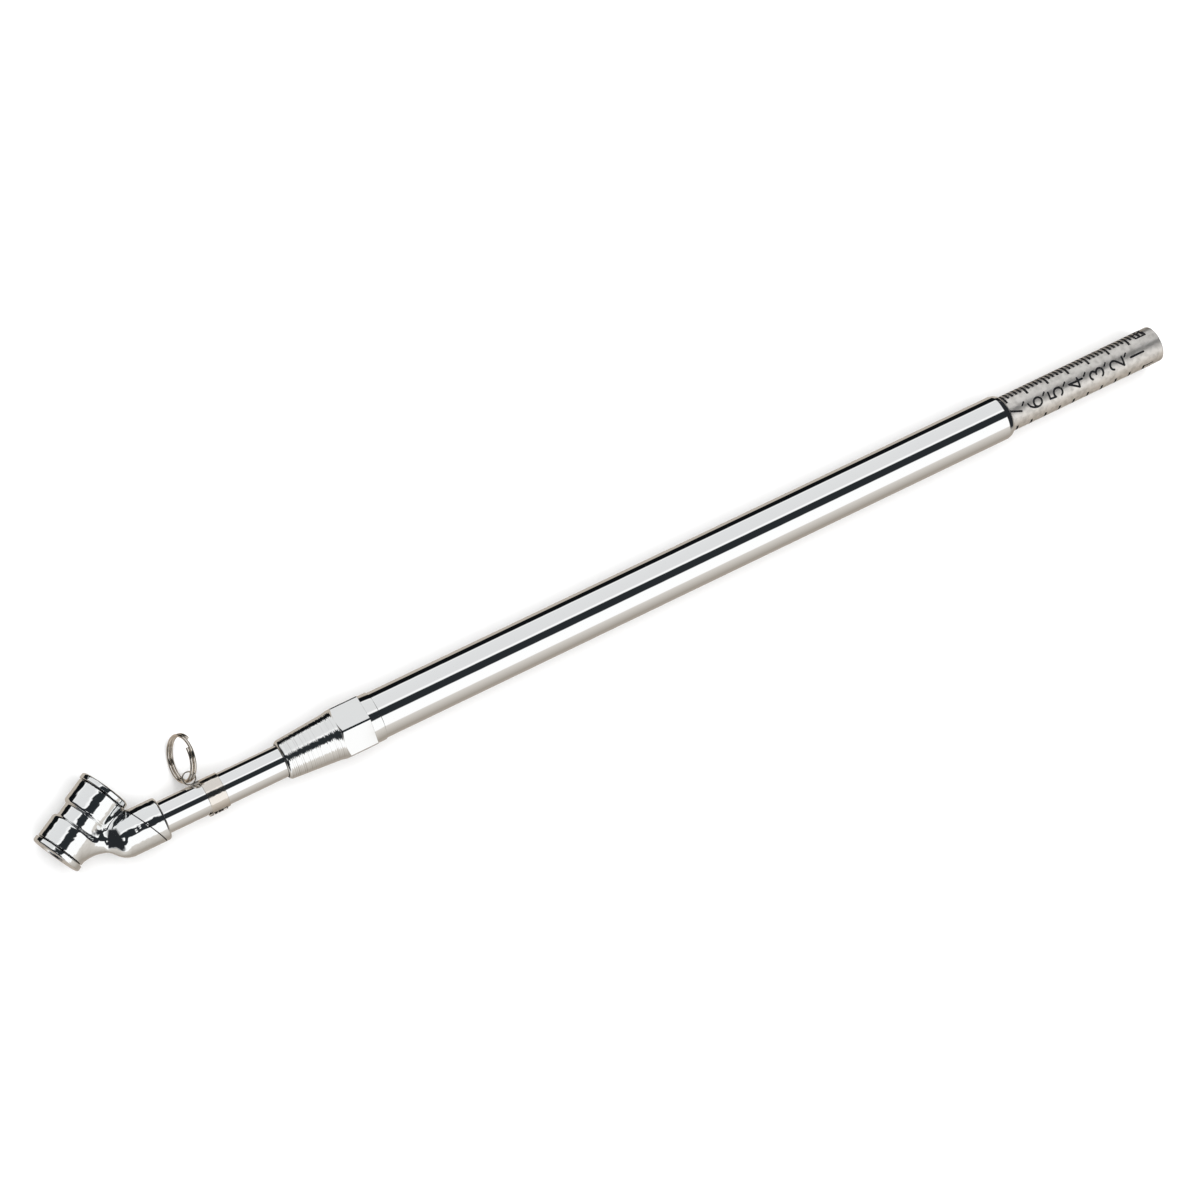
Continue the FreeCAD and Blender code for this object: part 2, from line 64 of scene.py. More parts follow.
# ---- chuck head ----
# One zinc die casting: two feet back to back, a short neck, and the elbow that takes the stem.
# It is tumbled, then chrome plated, so its corners are soft and its reflections waver a little.
FOOT_R = 7.0
FOOT_END = 9.12
RIM_START = 9.44
FOOT_SHOULDER_R = 1.0
FOOT_BORE_R = 5.4
WAIST_R = 6.1
WAIST_HALF = 1.95
WEB_HALF = 2.9
NECK_R = 3.5
NECK_BLEND = 2.4
ELBOW_R = 6.1
ELBOW_EDGE_R = 0.9
ELBOW_BACK = -74.6
SOCKET_FACE = -64.1
SOCKET_DEPTH = 9.0
STEM_R = 4.625
HEAD_ANGLE = math.radians(28.4)
HEAD_CENTRE = np.array([-84.26, 8.47, 0.0])
NECK_STEP = np.array([-11.4, 2.8, 0.0])
CASTING_CELL = 0.24
CASTING_EDGE = 0.12
WAIST_BLEND = 0.35
ELBOW_BLEND = 1.6
DOT_BLEND = 0.15
DOT_SINK = 0.2
AROUND_CASTING = 0.6
EJECTOR_DOTS = ((-72.55, 0.0), (-71.3, 0.35), (-69.2, 0.1))
EJECTOR_DOT_R = 0.34
CAST_COLOUR = (0.875, 0.885, 0.885, 1)
# Painted shade for the gap between each foot and its seat ring, and how far it stays inside that gap.
GAP_SHADE_COLOUR = (0.015, 0.015, 0.016, 1)
GAP_SHADE_MARGIN = 0.01
SMUDGE_RANGE = (0.35, 0.72)
head_along = np.array([math.cos(HEAD_ANGLE), math.sin(HEAD_ANGLE), 0.0])


def soft_join(a, b, blend):
    """The nearer of two distances, with a fillet where they meet."""
    mix = np.maximum(blend - np.abs(a - b), 0) / blend
    return np.minimum(a, b) - mix * mix * blend / 4


def soft_cut(a, b, blend):
    """What is left of a outside b, with a small edge."""
    return -soft_join(-a, b, blend)


def bar_distance(points, centre, along, half, radius, edge):
    """How far points are outside a round bar with rounded ends."""
    away = points - centre
    reach = away @ along
    side = np.sqrt(np.maximum((away * away).sum(1) - reach * reach, 0))
    q = np.stack([side - (radius - edge), np.abs(reach) - (half - edge)], 1)
    outside = np.sqrt((np.maximum(q, 0) ** 2).sum(1))
    return outside + np.minimum(q.max(1), 0) - edge


def casting_distance(points):
    """How far points are outside the head's casting."""
    x_axis = np.array([1.0, 0.0, 0.0])
    elbow_start = np.array([ELBOW_BACK, 0.0, 0.0])
    elbow_half = (SOCKET_FACE - ELBOW_BACK + ELBOW_R) / 2
    elbow = bar_distance(
        points, np.array([SOCKET_FACE - elbow_half, 0, 0]), x_axis, elbow_half, ELBOW_R, ELBOW_EDGE_R
    )
    behind = np.maximum(ELBOW_BACK - points[:, 0], 0)
    dome = np.linalg.norm(points - elbow_start, axis=1) - ELBOW_R
    elbow = np.where(behind > 0, dome, elbow)
    neck_length = np.linalg.norm(NECK_STEP)
    neck_along = NECK_STEP / neck_length
    neck = bar_distance(
        points, elbow_start + NECK_STEP / 2, neck_along, neck_length / 2, NECK_R, CASTING_EDGE
    )
    body = bar_distance(points, HEAD_CENTRE, head_along, WAIST_HALF + 1, WAIST_R, CASTING_EDGE)
    for side in (-1, 1):
        middle = HEAD_CENTRE + side * head_along * (WAIST_HALF + FOOT_END + FOOT_SHOULDER_R) / 2
        half = (FOOT_END + FOOT_SHOULDER_R - WAIST_HALF) / 2
        foot = bar_distance(points, middle, head_along, half, FOOT_R, FOOT_SHOULDER_R)
        past_end = side * ((points - HEAD_CENTRE) @ head_along) - FOOT_END
        foot = soft_cut(foot, -past_end, CASTING_EDGE)
        body = soft_join(body, foot, WAIST_BLEND)
    body = soft_join(body, neck, NECK_BLEND)
    body = soft_join(body, elbow, ELBOW_BLEND)
    for x, y in EJECTOR_DOTS:
        dot_at = np.array([x, y, ELBOW_R - DOT_SINK])
        dot = np.linalg.norm(points - dot_at, axis=1) - EJECTOR_DOT_R
        body = soft_join(body, dot, DOT_BLEND)
    for side in (-1, 1):
        middle = HEAD_CENTRE + side * head_along * (WEB_HALF + FOOT_END)
        bore = bar_distance(points, middle, head_along, FOOT_END, FOOT_BORE_R, CASTING_EDGE)
        body = soft_cut(body, bore, CASTING_EDGE)
    socket = np.array([SOCKET_FACE, 0, 0])
    bore = bar_distance(points, socket, x_axis, SOCKET_DEPTH, STEM_R, CASTING_EDGE)
    return soft_cut(body, bore, CASTING_EDGE)


def slope(distance, points, step):
    """Which way the distance grows fastest, at each point."""
    found = np.zeros_like(points)
    for i in range(3):
        offset = np.zeros(3)
        offset[i] = step
        found[:, i] = (distance(points + offset) - distance(points - offset)) / (2 * step)
    return found


def onto_skin(distance, points, step):
    """The points moved on to the surface where the distance is nothing."""
    grade = slope(distance, points, step)
    return points - grade * (distance(points) / np.maximum((grade * grade).sum(1), 1e-9))[:, None]


def cast_skin(distance, low, high, cell):
    """The surface where a distance is nothing, as points, four-sided faces and directions."""
    counts = np.ceil((high - low) / cell).astype(int) + 1
    axes = [low[i] + cell * np.arange(counts[i]) for i in range(3)]
    grid = np.stack(np.meshgrid(*axes, indexing="ij"), -1)
    inside = (distance(grid.reshape(-1, 3)) < 0).reshape(counts)
    around = sum(
        inside[i:counts[0] - 1 + i, j:counts[1] - 1 + j, k:counts[2] - 1 + k].astype(int)
        for i, j, k in itertools.product((0, 1), repeat=3)
    )
    crossed = (around > 0) & (around < 8)
    index = np.full(crossed.shape, -1)
    index[crossed] = np.arange(crossed.sum())
    points = low + cell * (np.argwhere(crossed) + 0.5)
    faces = []
    for axis in range(3):
        u, v = (axis + 1) % 3, (axis + 2) % 3
        near = np.take(inside, range(counts[axis] - 1), axis)
        far = np.take(inside, range(1, counts[axis]), axis)
        edges = np.argwhere(near != far)
        edges = edges[(edges[:, u] > 0) & (edges[:, v] > 0)]
        corners = []
        for du, dv in ((-1, -1), (0, -1), (0, 0), (-1, 0)):
            at = edges.copy()
            at[:, u] += du
            at[:, v] += dv
            corners.append(index[at[:, 0], at[:, 1], at[:, 2]])
        quads = np.stack(corners, 1)
        leaving = near[edges[:, 0], edges[:, 1], edges[:, 2]]
        quads[~leaving] = quads[~leaving][:, ::-1]
        faces.append(quads)
    faces = np.vstack(faces)
    step = cell / 8
    for _ in range(3):
        points = onto_skin(distance, points, step)
    for _ in range(3):
        total, count = np.zeros_like(points), np.zeros(len(points))
        for a, b in ((0, 1), (1, 2), (2, 3), (3, 0)):
            np.add.at(total, faces[:, a], points[faces[:, b]])
            np.add.at(total, faces[:, b], points[faces[:, a]])
            np.add.at(count, faces[:, a], 1)
            np.add.at(count, faces[:, b], 1)
        points = onto_skin(distance, (points + total / count[:, None]) / 2, step)
    points = onto_skin(distance, points, step)
    normals = slope(distance, points, step)
    normals /= np.linalg.norm(normals, axis=1)[:, None]
    return points, faces.tolist(), normals


def make_piece(name, shape, material):
    """An object from points in millimetres, four-sided faces, and a direction for each point."""
    points, faces, normals = shape
    mesh = bpy.data.meshes.new(name)
    mesh.from_pydata((BARREL_START + np.asarray(points) * MM).tolist(), [], faces)
    mesh.materials.append(material)
    mesh.shade_smooth()
    if normals is None:
        mesh.set_sharp_from_angle(angle=math.radians(24))
    else:
        mesh.normals_split_custom_set_from_vertices(np.asarray(normals).tolist())
    piece = bpy.data.objects.new(name, mesh)
    bpy.context.scene.collection.objects.link(piece)
    return piece


def feed(tree, node, inputs):
    """Gives a node's inputs their values, or links them to other nodes' outputs."""
    for socket, value in inputs.items():
        if isinstance(value, bpy.types.NodeSocket):
            tree.links.new(value, node.inputs[socket])
        else:
            node.inputs[socket].default_value = value


def add_node(tree, kind, inputs, **settings):
    """A new node with its settings and its inputs."""
    node = tree.nodes.new(kind)
    for name, value in settings.items():
        setattr(node, name, value)
    feed(tree, node, inputs)
    return node


def object_place(tree):
    """Where the shaded spot is, in the object's own metres."""
    return add_node(tree, "ShaderNodeTexCoord", {}).outputs["Object"]


def maths(tree, operation, *values):
    """What a maths node makes of numbers or other nodes' outputs."""
    node = add_node(tree, "ShaderNodeMath", dict(enumerate(values)), operation=operation)
    return node.outputs[0]


def vector_maths(tree, operation, inputs, result=0):
    """What a vector maths node makes of its inputs."""
    node = add_node(tree, "ShaderNodeVectorMath", inputs, operation=operation)
    return node.outputs[result]


def ranged(tree, value, low, high, to_low=0.0, to_high=1.0):
    """A value carried from one range to another, and held inside it."""
    node = add_node(tree, "ShaderNodeMapRange", {
        "Value": value, "From Min": low, "From Max": high, "To Min": to_low, "To Max": to_high,
    })
    return node.outputs["Result"]


def blended(tree, share, one, two, kind="RGBA"):
    """A share of the second colour or direction in the first."""
    node = add_node(tree, "ShaderNodeMix", {"Factor": share, "A": one, "B": two}, data_type=kind)
    return node.outputs["Result"]


def new_group(kind, name, inputs, outputs):
    """An empty group with named sockets of these types, what it is given, and its last node."""
    group = bpy.data.node_groups.new(name, kind + "NodeTree")
    for way, sockets in (("INPUT", inputs), ("OUTPUT", outputs)):
        for label, type_name in sockets.items():
            group.interface.new_socket(label, in_out=way, socket_type="NodeSocket" + type_name)
    return group, group.nodes.new("NodeGroupInput").outputs, group.nodes.new("NodeGroupOutput")


def handled_metal_group():
    """Handling marks for any metal: cloudy smudges for its roughness, and a wavering surface."""
    group, given, result = new_group("Shader", "handled_metal", {
        "Smudge Scale": "Float", "Low": "Float", "High": "Float", "Wave Scale": "Float",
    }, {"Roughness": "Float", "Height": "Float"})
    place = object_place(group)
    smudge = add_node(group, "ShaderNodeTexNoise", {
        "Vector": place, "Scale": given["Smudge Scale"], "Detail": 5, "Distortion": 0.6,
    })
    wave = add_node(group, "ShaderNodeTexNoise", {
        "Vector": place, "Scale": given["Wave Scale"], "Detail": 1,
    })
    feed(group, result, {
        "Roughness": ranged(
            group, smudge.outputs["Fac"], *SMUDGE_RANGE, given["Low"], given["High"]
        ),
        "Height": wave.outputs["Fac"],
    })
    return group


handled_metal = handled_metal_group()


def new_metal(name, colour, low, high, smudge_scale, wave_scale, wave_height):
    """A metal finish with handling marks. Returns the material, its shader and its bump."""
    material = bpy.data.materials.new(name)
    material.use_nodes = True
    tree = material.node_tree
    marks = add_node(tree, "ShaderNodeGroup", {
        "Smudge Scale": smudge_scale, "Low": low, "High": high, "Wave Scale": wave_scale,
    }, node_tree=handled_metal)
    bump = add_node(tree, "ShaderNodeBump", {
        "Height": marks.outputs["Height"], "Strength": 1.0, "Distance": wave_height * MM,
    })
    shader = tree.nodes["Principled BSDF"]
    feed(tree, shader, {
        "Base Color": colour, "Metallic": 1.0, "Roughness": marks.outputs["Roughness"],
        "Normal": bump.outputs["Normal"],
    })
    return material, shader, bump


cast_chrome, cast_shader, _ = new_metal(
    "cast_chrome", CAST_COLOUR, 0.035, 0.10, 260.0, 620.0, 0.075
)
# Painted shade: the gap between each foot and its seat ring is coloured near black, standing in for
# the shadow in the gap.
cast_tree = cast_chrome.node_tree
from_middle = vector_maths(cast_tree, "SUBTRACT", {
    0: object_place(cast_tree), 1: BARREL_START + HEAD_CENTRE * MM,
})
reach = vector_maths(cast_tree, "DOT_PRODUCT", {0: from_middle, 1: head_along}, "Value")
in_gap = maths(
    cast_tree, "COMPARE", maths(cast_tree, "ABSOLUTE", reach),
    (FOOT_END + RIM_START) / 2 * MM, ((RIM_START - FOOT_END) / 2 - GAP_SHADE_MARGIN) * MM,
)
feed(cast_tree, cast_shader, {
    "Base Color": blended(cast_tree, in_gap, CAST_COLOUR, GAP_SHADE_COLOUR),
})
head_low, head_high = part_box("chuck_head")
casting = cast_skin(
    casting_distance,
    (np.array(head_low) - BARREL_START) / MM - AROUND_CASTING,
    (np.array(head_high) - BARREL_START) / MM + AROUND_CASTING,
    CASTING_CELL,
)
head = make_piece("chuck_casting", casting, cast_chrome)
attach(head, "gauge_body")
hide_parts("chuck_head")


# ---- core pins and seal washers ----
# In each foot a brass disc carries the pin that opens the valve's core, and a soft black
# rubber washer over it seals on the valve's mouth. Both drop in before the seat ring.
PIN_DISC_END = 3.9
WASHER_FACE = 5.9
WASHER_HOLE_R = 2.2
PIN_R = 0.9
BRASS_COLOUR = (0.71, 0.52, 0.24, 1)
RUBBER_COLOUR = (0.018, 0.018, 0.019, 1)


def soft_outline(corners):
    """Points and outward directions round an (x, radius, edge) outline, with rounded corners.
    An outline whose first point is on the axis is open, and any other one is closed."""
    spots = [np.array(c[:2], float) for c in corners]
    count = len(spots)
    crosses = [
        spots[i][0] * spots[(i + 1) % count][1] - spots[(i + 1) % count][0] * spots[i][1]
        for i in range(count)
    ]
    hand = 1 if sum(crosses) > 0 else -1
    is_open = spots[0][1] < 1e-9
    points, normals = [], []
    for i, spot in enumerate(spots):
        before, after = spots[i - 1], spots[(i + 1) % count]
        arrive = (spot - before) / max(np.linalg.norm(spot - before), 1e-9)
        leave = (after - spot) / max(np.linalg.norm(after - spot), 1e-9)
        side_in = hand * np.array([arrive[1], -arrive[0]])
        side_out = hand * np.array([leave[1], -leave[0]])
        if is_open and i in (0, count - 1):
            points.append(spot)
            normals.append(side_out if i == 0 else side_in)
            continue
        bend = math.atan2(arrive[0] * leave[1] - arrive[1] * leave[0], arrive @ leave)
        half = math.tan(abs(bend) / 2)
        room = 0.45 * min(np.linalg.norm(spot - before), np.linalg.norm(after - spot))
        cut = min(corners[i][2] * half, room)
        edge_r = cut / half if half > 1e-6 else 0
        convex = 1 if bend * hand > 0 else -1
        centre = spot - arrive * cut - convex * side_in * edge_r
        steps = max(2, math.ceil(abs(math.degrees(bend)) / 15))
        for k in range(steps + 1):
            turn = bend * k / steps
            side = np.array([
                side_in[0] * math.cos(turn) - side_in[1] * math.sin(turn),
                side_in[0] * math.sin(turn) + side_in[1] * math.cos(turn),
            ])
            points.append(centre + convex * side * edge_r)
            normals.append(side)
    return np.array(points), np.array(normals), is_open, hand


def turned(corners, segments, start=(0, 0, 0), along=(1, 0, 0)):
    """A shape turned on a lathe, from an outline of (x, radius, edge)."""
    outline, sides, is_open, hand = soft_outline(corners)
    along = np.array(along, float)
    up = np.array([0.0, 0.0, 1.0])
    across = np.cross(up, along)
    points, normals, rows, faces = [], [], [], []
    angles = 2 * math.pi * np.arange(segments) / segments
    spokes = np.outer(np.cos(angles), up) + np.outer(np.sin(angles), across)
    for (x, r), (nx, nr) in zip(outline, sides):
        middle = np.array(start, float) + along * x
        first = sum(len(p) for p in points)
        if r < 1e-9:
            points.append(middle[None])
            normals.append(along[None] * (1 if nx > 0 else -1))
            rows.append([first] * segments)
        else:
            points.append(middle + spokes * r)
            normals.append(along * nx + spokes * nr)
            rows.append(list(range(first, first + segments)))
    last = len(rows) - 1 if is_open else len(rows)
    for i in range(last):
        one, two = rows[i], rows[(i + 1) % len(rows)]
        for k in range(segments):
            j = (k + 1) % segments
            corners_here = [one[k], one[j], two[j], two[k]]
            if hand < 0:
                corners_here.reverse()
            face = [c for n, c in enumerate(corners_here) if c != corners_here[n - 1]]
            if len(face) > 2:
                faces.append(face)
    return np.vstack(points), faces, np.vstack(normals)


def joined(*shapes):
    """Several shapes as one."""
    points, faces, normals, first = [], [], [], 0
    for some_points, some_faces, some_normals in shapes:
        points.append(some_points)
        normals.append(some_normals)
        faces += [[first + i for i in face] for face in some_faces]
        first += len(some_points)
    return np.vstack(points), faces, np.vstack(normals)


def new_soft(name, colour, roughness, grain_scale, grain_height):
    """A dull finish: rubber, fibre or ink, with a fine grain."""
    material = bpy.data.materials.new(name)
    material.use_nodes = True
    tree = material.node_tree
    grain = add_node(tree, "ShaderNodeTexNoise", {
        "Vector": object_place(tree), "Scale": grain_scale, "Detail": 6,
    }).outputs["Fac"]
    lighter = tuple(min(1, c * 2.1 + 0.01) for c in colour[:3]) + (1,)
    bump = add_node(tree, "ShaderNodeBump", {"Height": grain, "Distance": grain_height * MM})
    feed(tree, tree.nodes["Principled BSDF"], {
        "Base Color": blended(tree, grain, colour, lighter), "Roughness": roughness,
        "Normal": bump.outputs["Normal"],
    })
    return material


brass, _, _ = new_metal("brass", BRASS_COLOUR, 0.18, 0.34, 500.0, 1500.0, 0.01)
black_rubber = new_soft("black_rubber", RUBBER_COLOUR, 0.62, 2600.0, 0.03)
for side, sign in (("front", -1), ("rear", 1)):
    along = head_along * sign
    pin = turned([
        (WEB_HALF, 0, 0), (WEB_HALF, FOOT_BORE_R, 0.08), (PIN_DISC_END, FOOT_BORE_R, 0.08),
        (PIN_DISC_END, PIN_R, 0.12), (WASHER_FACE - 0.15, PIN_R, 0.35), (WASHER_FACE - 0.15, 0, 0),
    ], 48, HEAD_CENTRE, along)
    core_pin = make_piece(side + "_pin_and_disc", pin, brass)
    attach(core_pin, "gauge_body")
    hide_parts(side + "_core_pin")
    washer = turned([
        (PIN_DISC_END, WASHER_HOLE_R, 0.15), (PIN_DISC_END, FOOT_BORE_R, 0.15),
        (WASHER_FACE, FOOT_BORE_R, 0.15), (WASHER_FACE, WASHER_HOLE_R, 0.3),
    ], 64, HEAD_CENTRE, along)
    seal = make_piece(side + "_rubber_washer", washer, black_rubber)
    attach(seal, "gauge_body")
    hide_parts(side + "_seal_washer")


# ---- seat rings ----
# A turned ring screws into each foot, holds the washer down and guides the valve in. Its rim
# stands a little proud of the foot, with a fine shadow gap between the two.
RIM_R = 7.3
RIM_END = 11.1
GROOVE_R = 6.6
VALVE_BORE_R = 4.25
for side, sign in (("front", -1), ("rear", 1)):
    seat = turned([
        (WASHER_FACE, VALVE_BORE_R, 0.1), (WASHER_FACE, FOOT_BORE_R, 0.1),
        (FOOT_END, FOOT_BORE_R, 0.1), (FOOT_END, GROOVE_R, 0.03), (RIM_START, GROOVE_R, 0.03),
        (RIM_START, RIM_R, 0.28), (RIM_END, RIM_R, 0.6), (RIM_END, VALVE_BORE_R + 0.5, 0.12),
        (RIM_END - 0.5, VALVE_BORE_R, 0.12),
    ], 128, HEAD_CENTRE, head_along * sign)
    seat_ring = make_piece(side + "_seat_rim", seat, cast_chrome)
    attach(seat_ring, "gauge_body")
    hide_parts(side + "_seat_ring")


# ---- stem ----
# A thick brass tube, drawn and chrome plated. It screws into the elbow at one end and into
# the nose at the other.
STEM_BACK = -73.1
STEM_FRONT = -22.0
STEM_BORE_R = 2.5
TUBE_COLOUR = (0.885, 0.89, 0.89, 1)
tube_chrome, _, _ = new_metal("tube_chrome", TUBE_COLOUR, 0.022, 0.06, 90.0, 210.0, 0.018)
stem = make_piece("stem_tube_plated", turned([
    (STEM_BACK, STEM_BORE_R, 0.15), (STEM_BACK, STEM_R, 0.15),
    (STEM_FRONT, STEM_R, 0.15), (STEM_FRONT, STEM_BORE_R, 0.15),
], 160), tube_chrome)
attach(stem, "gauge_body")
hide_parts("stem_tube")


# ---- ring clip ----
# A band of thin nickel-plated sheet, wrapped tight round the stem with its ends lapped
# underneath. A narrow tab of it is curled up into the eye that carries the key ring.
STRIP = 0.35
CLIP_LEFT = -51.6
CLIP_WIDTH = 5.2
LAP_SHIFT = 0.9
LAP_MIDDLE = math.radians(216)
LAP_HALF = math.radians(48)
EYE = np.array([-53.34, 6.575, 0.0])
EYE_R = 1.95
EYE_WIDTH = 1.6
EYE_OPEN_FROM = math.radians(45)
EYE_OPEN_TO = math.radians(370)
NICKEL_COLOUR = (0.80, 0.755, 0.70, 1)


def strip_section(width, thickness, corner):
    """A flat strip's cross-section: (outwards, across) points and their directions."""
    outline = [
        (-width / 2, -thickness / 2, corner), (width / 2, -thickness / 2, corner),
        (width / 2, thickness / 2, corner), (-width / 2, thickness / 2, corner),
    ]
    lifted = [(a, b + 10, c) for a, b, c in outline]
    points, sides, _, _ = soft_outline(lifted)
    points[:, 1] -= 10
    return points[:, ::-1], sides[:, ::-1]


def swept(spine, outs, acrosses, section, widths=None):
    """A section carried along a spine, with both ends closed."""
    spots, sides = section
    spine, outs, acrosses = (np.asarray(a, float) for a in (spine, outs, acrosses))
    count, around = len(spine), len(spots)
    widths = np.ones(count) if widths is None else np.asarray(widths)
    points = (
        spine[:, None] + outs[:, None] * spots[None, :, :1]
        + acrosses[:, None] * spots[None, :, 1:] * widths[:, None, None]
    )
    normals = outs[:, None] * sides[None, :, :1] + acrosses[:, None] * sides[None, :, 1:]
    faces = []
    ahead = spine[1] - spine[0]
    around_axis = np.cross(points[0, 0] - spine[0], points[0, 1] - spine[0])
    outward = 1 if around_axis @ ahead > 0 else -1
    for i in range(count - 1):
        for k in range(around):
            j = (k + 1) % around
            face = [i * around + k, i * around + j, (i + 1) * around + j, (i + 1) * around + k]
            faces.append(face[::outward])
    ends = [list(range(around))[::-1], [(count - 1) * around + k for k in range(around)]]
    faces += [end[::outward] for end in ends]
    return points.reshape(-1, 3), faces, normals.reshape(-1, 3)


def on_band(angle):
    """The direction straight out of the stem, from +Y round towards +Z."""
    return np.array([0.0, math.cos(angle), math.sin(angle)])


nickel_strip, _, _ = new_metal("nickel_strip", NICKEL_COLOUR, 0.07, 0.17, 700.0, 900.0, 0.03)
band = turned([
    (CLIP_LEFT, STEM_R + 0.01, 0.08), (CLIP_LEFT, STEM_R + STRIP, 0.1),
    (CLIP_LEFT + CLIP_WIDTH, STEM_R + STRIP, 0.1), (CLIP_LEFT + CLIP_WIDTH, STEM_R + 0.01, 0.08),
], 128)
lap_angles = np.linspace(LAP_MIDDLE - LAP_HALF, LAP_MIDDLE + LAP_HALF, 33)
lap_middle = np.array([CLIP_LEFT - LAP_SHIFT + CLIP_WIDTH / 2, 0, 0])
lap = swept(
    [lap_middle + on_band(a) * (STEM_R + 1.5 * STRIP) for a in lap_angles],
    [on_band(a) for a in lap_angles],
    [(1, 0, 0)] * len(lap_angles),
    strip_section(CLIP_WIDTH, STRIP, 0.1),
)
eye_angles = np.linspace(EYE_OPEN_FROM, EYE_OPEN_TO, 41)
eye_outs = [np.array([math.cos(a), math.sin(a), 0]) for a in eye_angles]
eye = swept(
    [EYE + out * (EYE_R - STRIP / 2) for out in eye_outs],
    eye_outs,
    [(0, 0, 1)] * len(eye_angles),
    strip_section(EYE_WIDTH, STRIP, 0.1),
)
tab_x = np.linspace(EYE[0], CLIP_LEFT + STRIP, 5)
tab = swept(
    [(x, STEM_R + STRIP / 2, 0) for x in tab_x],
    [(0, 1, 0)] * len(tab_x),
    [(0, 0, 1)] * len(tab_x),
    strip_section(EYE_WIDTH, STRIP, 0.1),
)
clip = make_piece("clip_band", joined(band, lap, eye, tab), nickel_strip)
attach(clip, "gauge_body")
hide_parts("ring_clip")


# ---- key ring ----
# Two close turns of hard nickel-plated wire, threaded through the clip's eye. It hangs
# freely, so it takes up its own tilt.
RING_CENTRE = EYE + np.array([0.75, 5.65, -1.54])
RING_NORMAL = Vector((-0.907, 0.17, 0.386))
RING_START = math.radians(38)
RING_TURNS = 1.92
RING_PITCH = 0.95
RING_MEAN_R = 6.37
RING_WIRE_R = 0.45
WIRE_COLOUR = (0.79, 0.735, 0.665, 1)


def finish_grower(tree, shape, material, result):
    """Ends a tree: its instances made real, and painted."""
    real = add_node(tree, "GeometryNodeRealizeInstances", {"Geometry": shape})
    paint = add_node(tree, "GeometryNodeSetMaterial", {
        "Geometry": real.outputs["Geometry"], "Material": material,
    })
    feed(tree, result, {"Geometry": paint.outputs["Geometry"]})


def wound_wire_tree():
    """A wire wound into a coil about Z, centred on the origin, from named sizes in metres."""
    tree, given, result = new_group("Geometry", "wound_wire", {
        "Turns": "Float", "Length": "Float", "Mean Radius": "Float", "Wire Radius": "Float",
        "Steps": "Int", "Sides": "Int", "Material": "Material",
    }, {"Geometry": "Geometry"})
    line = add_node(tree, "GeometryNodeCurvePrimitiveLine", {"End": (0, 0, 1)})
    steps = add_node(tree, "GeometryNodeResampleCurve", {
        "Curve": line.outputs["Curve"], "Count": given["Steps"],
    })
    along_wire = add_node(tree, "GeometryNodeSplineParameter", {}).outputs["Factor"]
    turn = maths(tree, "MULTIPLY", maths(tree, "MULTIPLY", along_wire, given["Turns"]), 2 * math.pi)
    spot = add_node(tree, "ShaderNodeCombineXYZ", {
        0: maths(tree, "MULTIPLY", maths(tree, "COSINE", turn), given["Mean Radius"]),
        1: maths(tree, "MULTIPLY", maths(tree, "SINE", turn), given["Mean Radius"]),
        2: maths(tree, "MULTIPLY", maths(tree, "SUBTRACT", along_wire, 0.5), given["Length"]),
    })
    bend = add_node(tree, "GeometryNodeSetPosition", {
        "Geometry": steps.outputs["Curve"], "Position": spot.outputs[0],
    })
    ring = add_node(tree, "GeometryNodeCurvePrimitiveCircle", {
        "Resolution": given["Sides"], "Radius": given["Wire Radius"],
    })
    wire = add_node(tree, "GeometryNodeCurveToMesh", {
        "Curve": bend.outputs["Geometry"], "Profile Curve": ring.outputs["Curve"],
        "Fill Caps": True,
    })
    finish_grower(tree, wire.outputs["Mesh"], given["Material"], result)
    return tree


def grown(name, tree, values, place):
    """What a tree makes with these inputs, as a plain mesh put where place says."""
    seed = bpy.data.objects.new(name + "_seed", bpy.data.meshes.new(name + "_seed"))
    bpy.context.scene.collection.objects.link(seed)
    modifier = seed.modifiers.new("grow", "NODES")
    modifier.node_group = tree
    for item in tree.interface.items_tree:
        if item.in_out == "INPUT" and item.name in values:
            modifier[item.identifier] = values[item.name]
    made = seed.evaluated_get(bpy.context.evaluated_depsgraph_get())
    mesh = bpy.data.meshes.new_from_object(made)
    bpy.data.objects.remove(seed)
    mesh.name = name
    mesh.transform(place)
    mesh.shade_smooth()
    mesh.set_sharp_from_angle(angle=math.radians(50))
    piece = bpy.data.objects.new(name, mesh)
    bpy.context.scene.collection.objects.link(piece)
    return piece


wound_wire = wound_wire_tree()
nickel_wire, _, _ = new_metal("nickel_wire", WIRE_COLOUR, 0.09, 0.2, 900.0, 1200.0, 0.012)
ring_place = (
    Matrix.Translation(Vector(BARREL_START + RING_CENTRE * MM))
    @ Vector((0, 0, 1)).rotation_difference(RING_NORMAL).to_matrix().to_4x4()
    @ Matrix.Rotation(RING_START, 4, "Z")
)
key_ring = grown("key_ring_wire", wound_wire, {
    "Turns": RING_TURNS, "Length": RING_TURNS * RING_PITCH * MM, "Mean Radius": RING_MEAN_R * MM,
    "Wire Radius": RING_WIRE_R * MM, "Steps": 240, "Sides": 24, "Material": nickel_wire,
}, ring_place)
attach(key_ring, "key_ring")
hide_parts("split_ring")


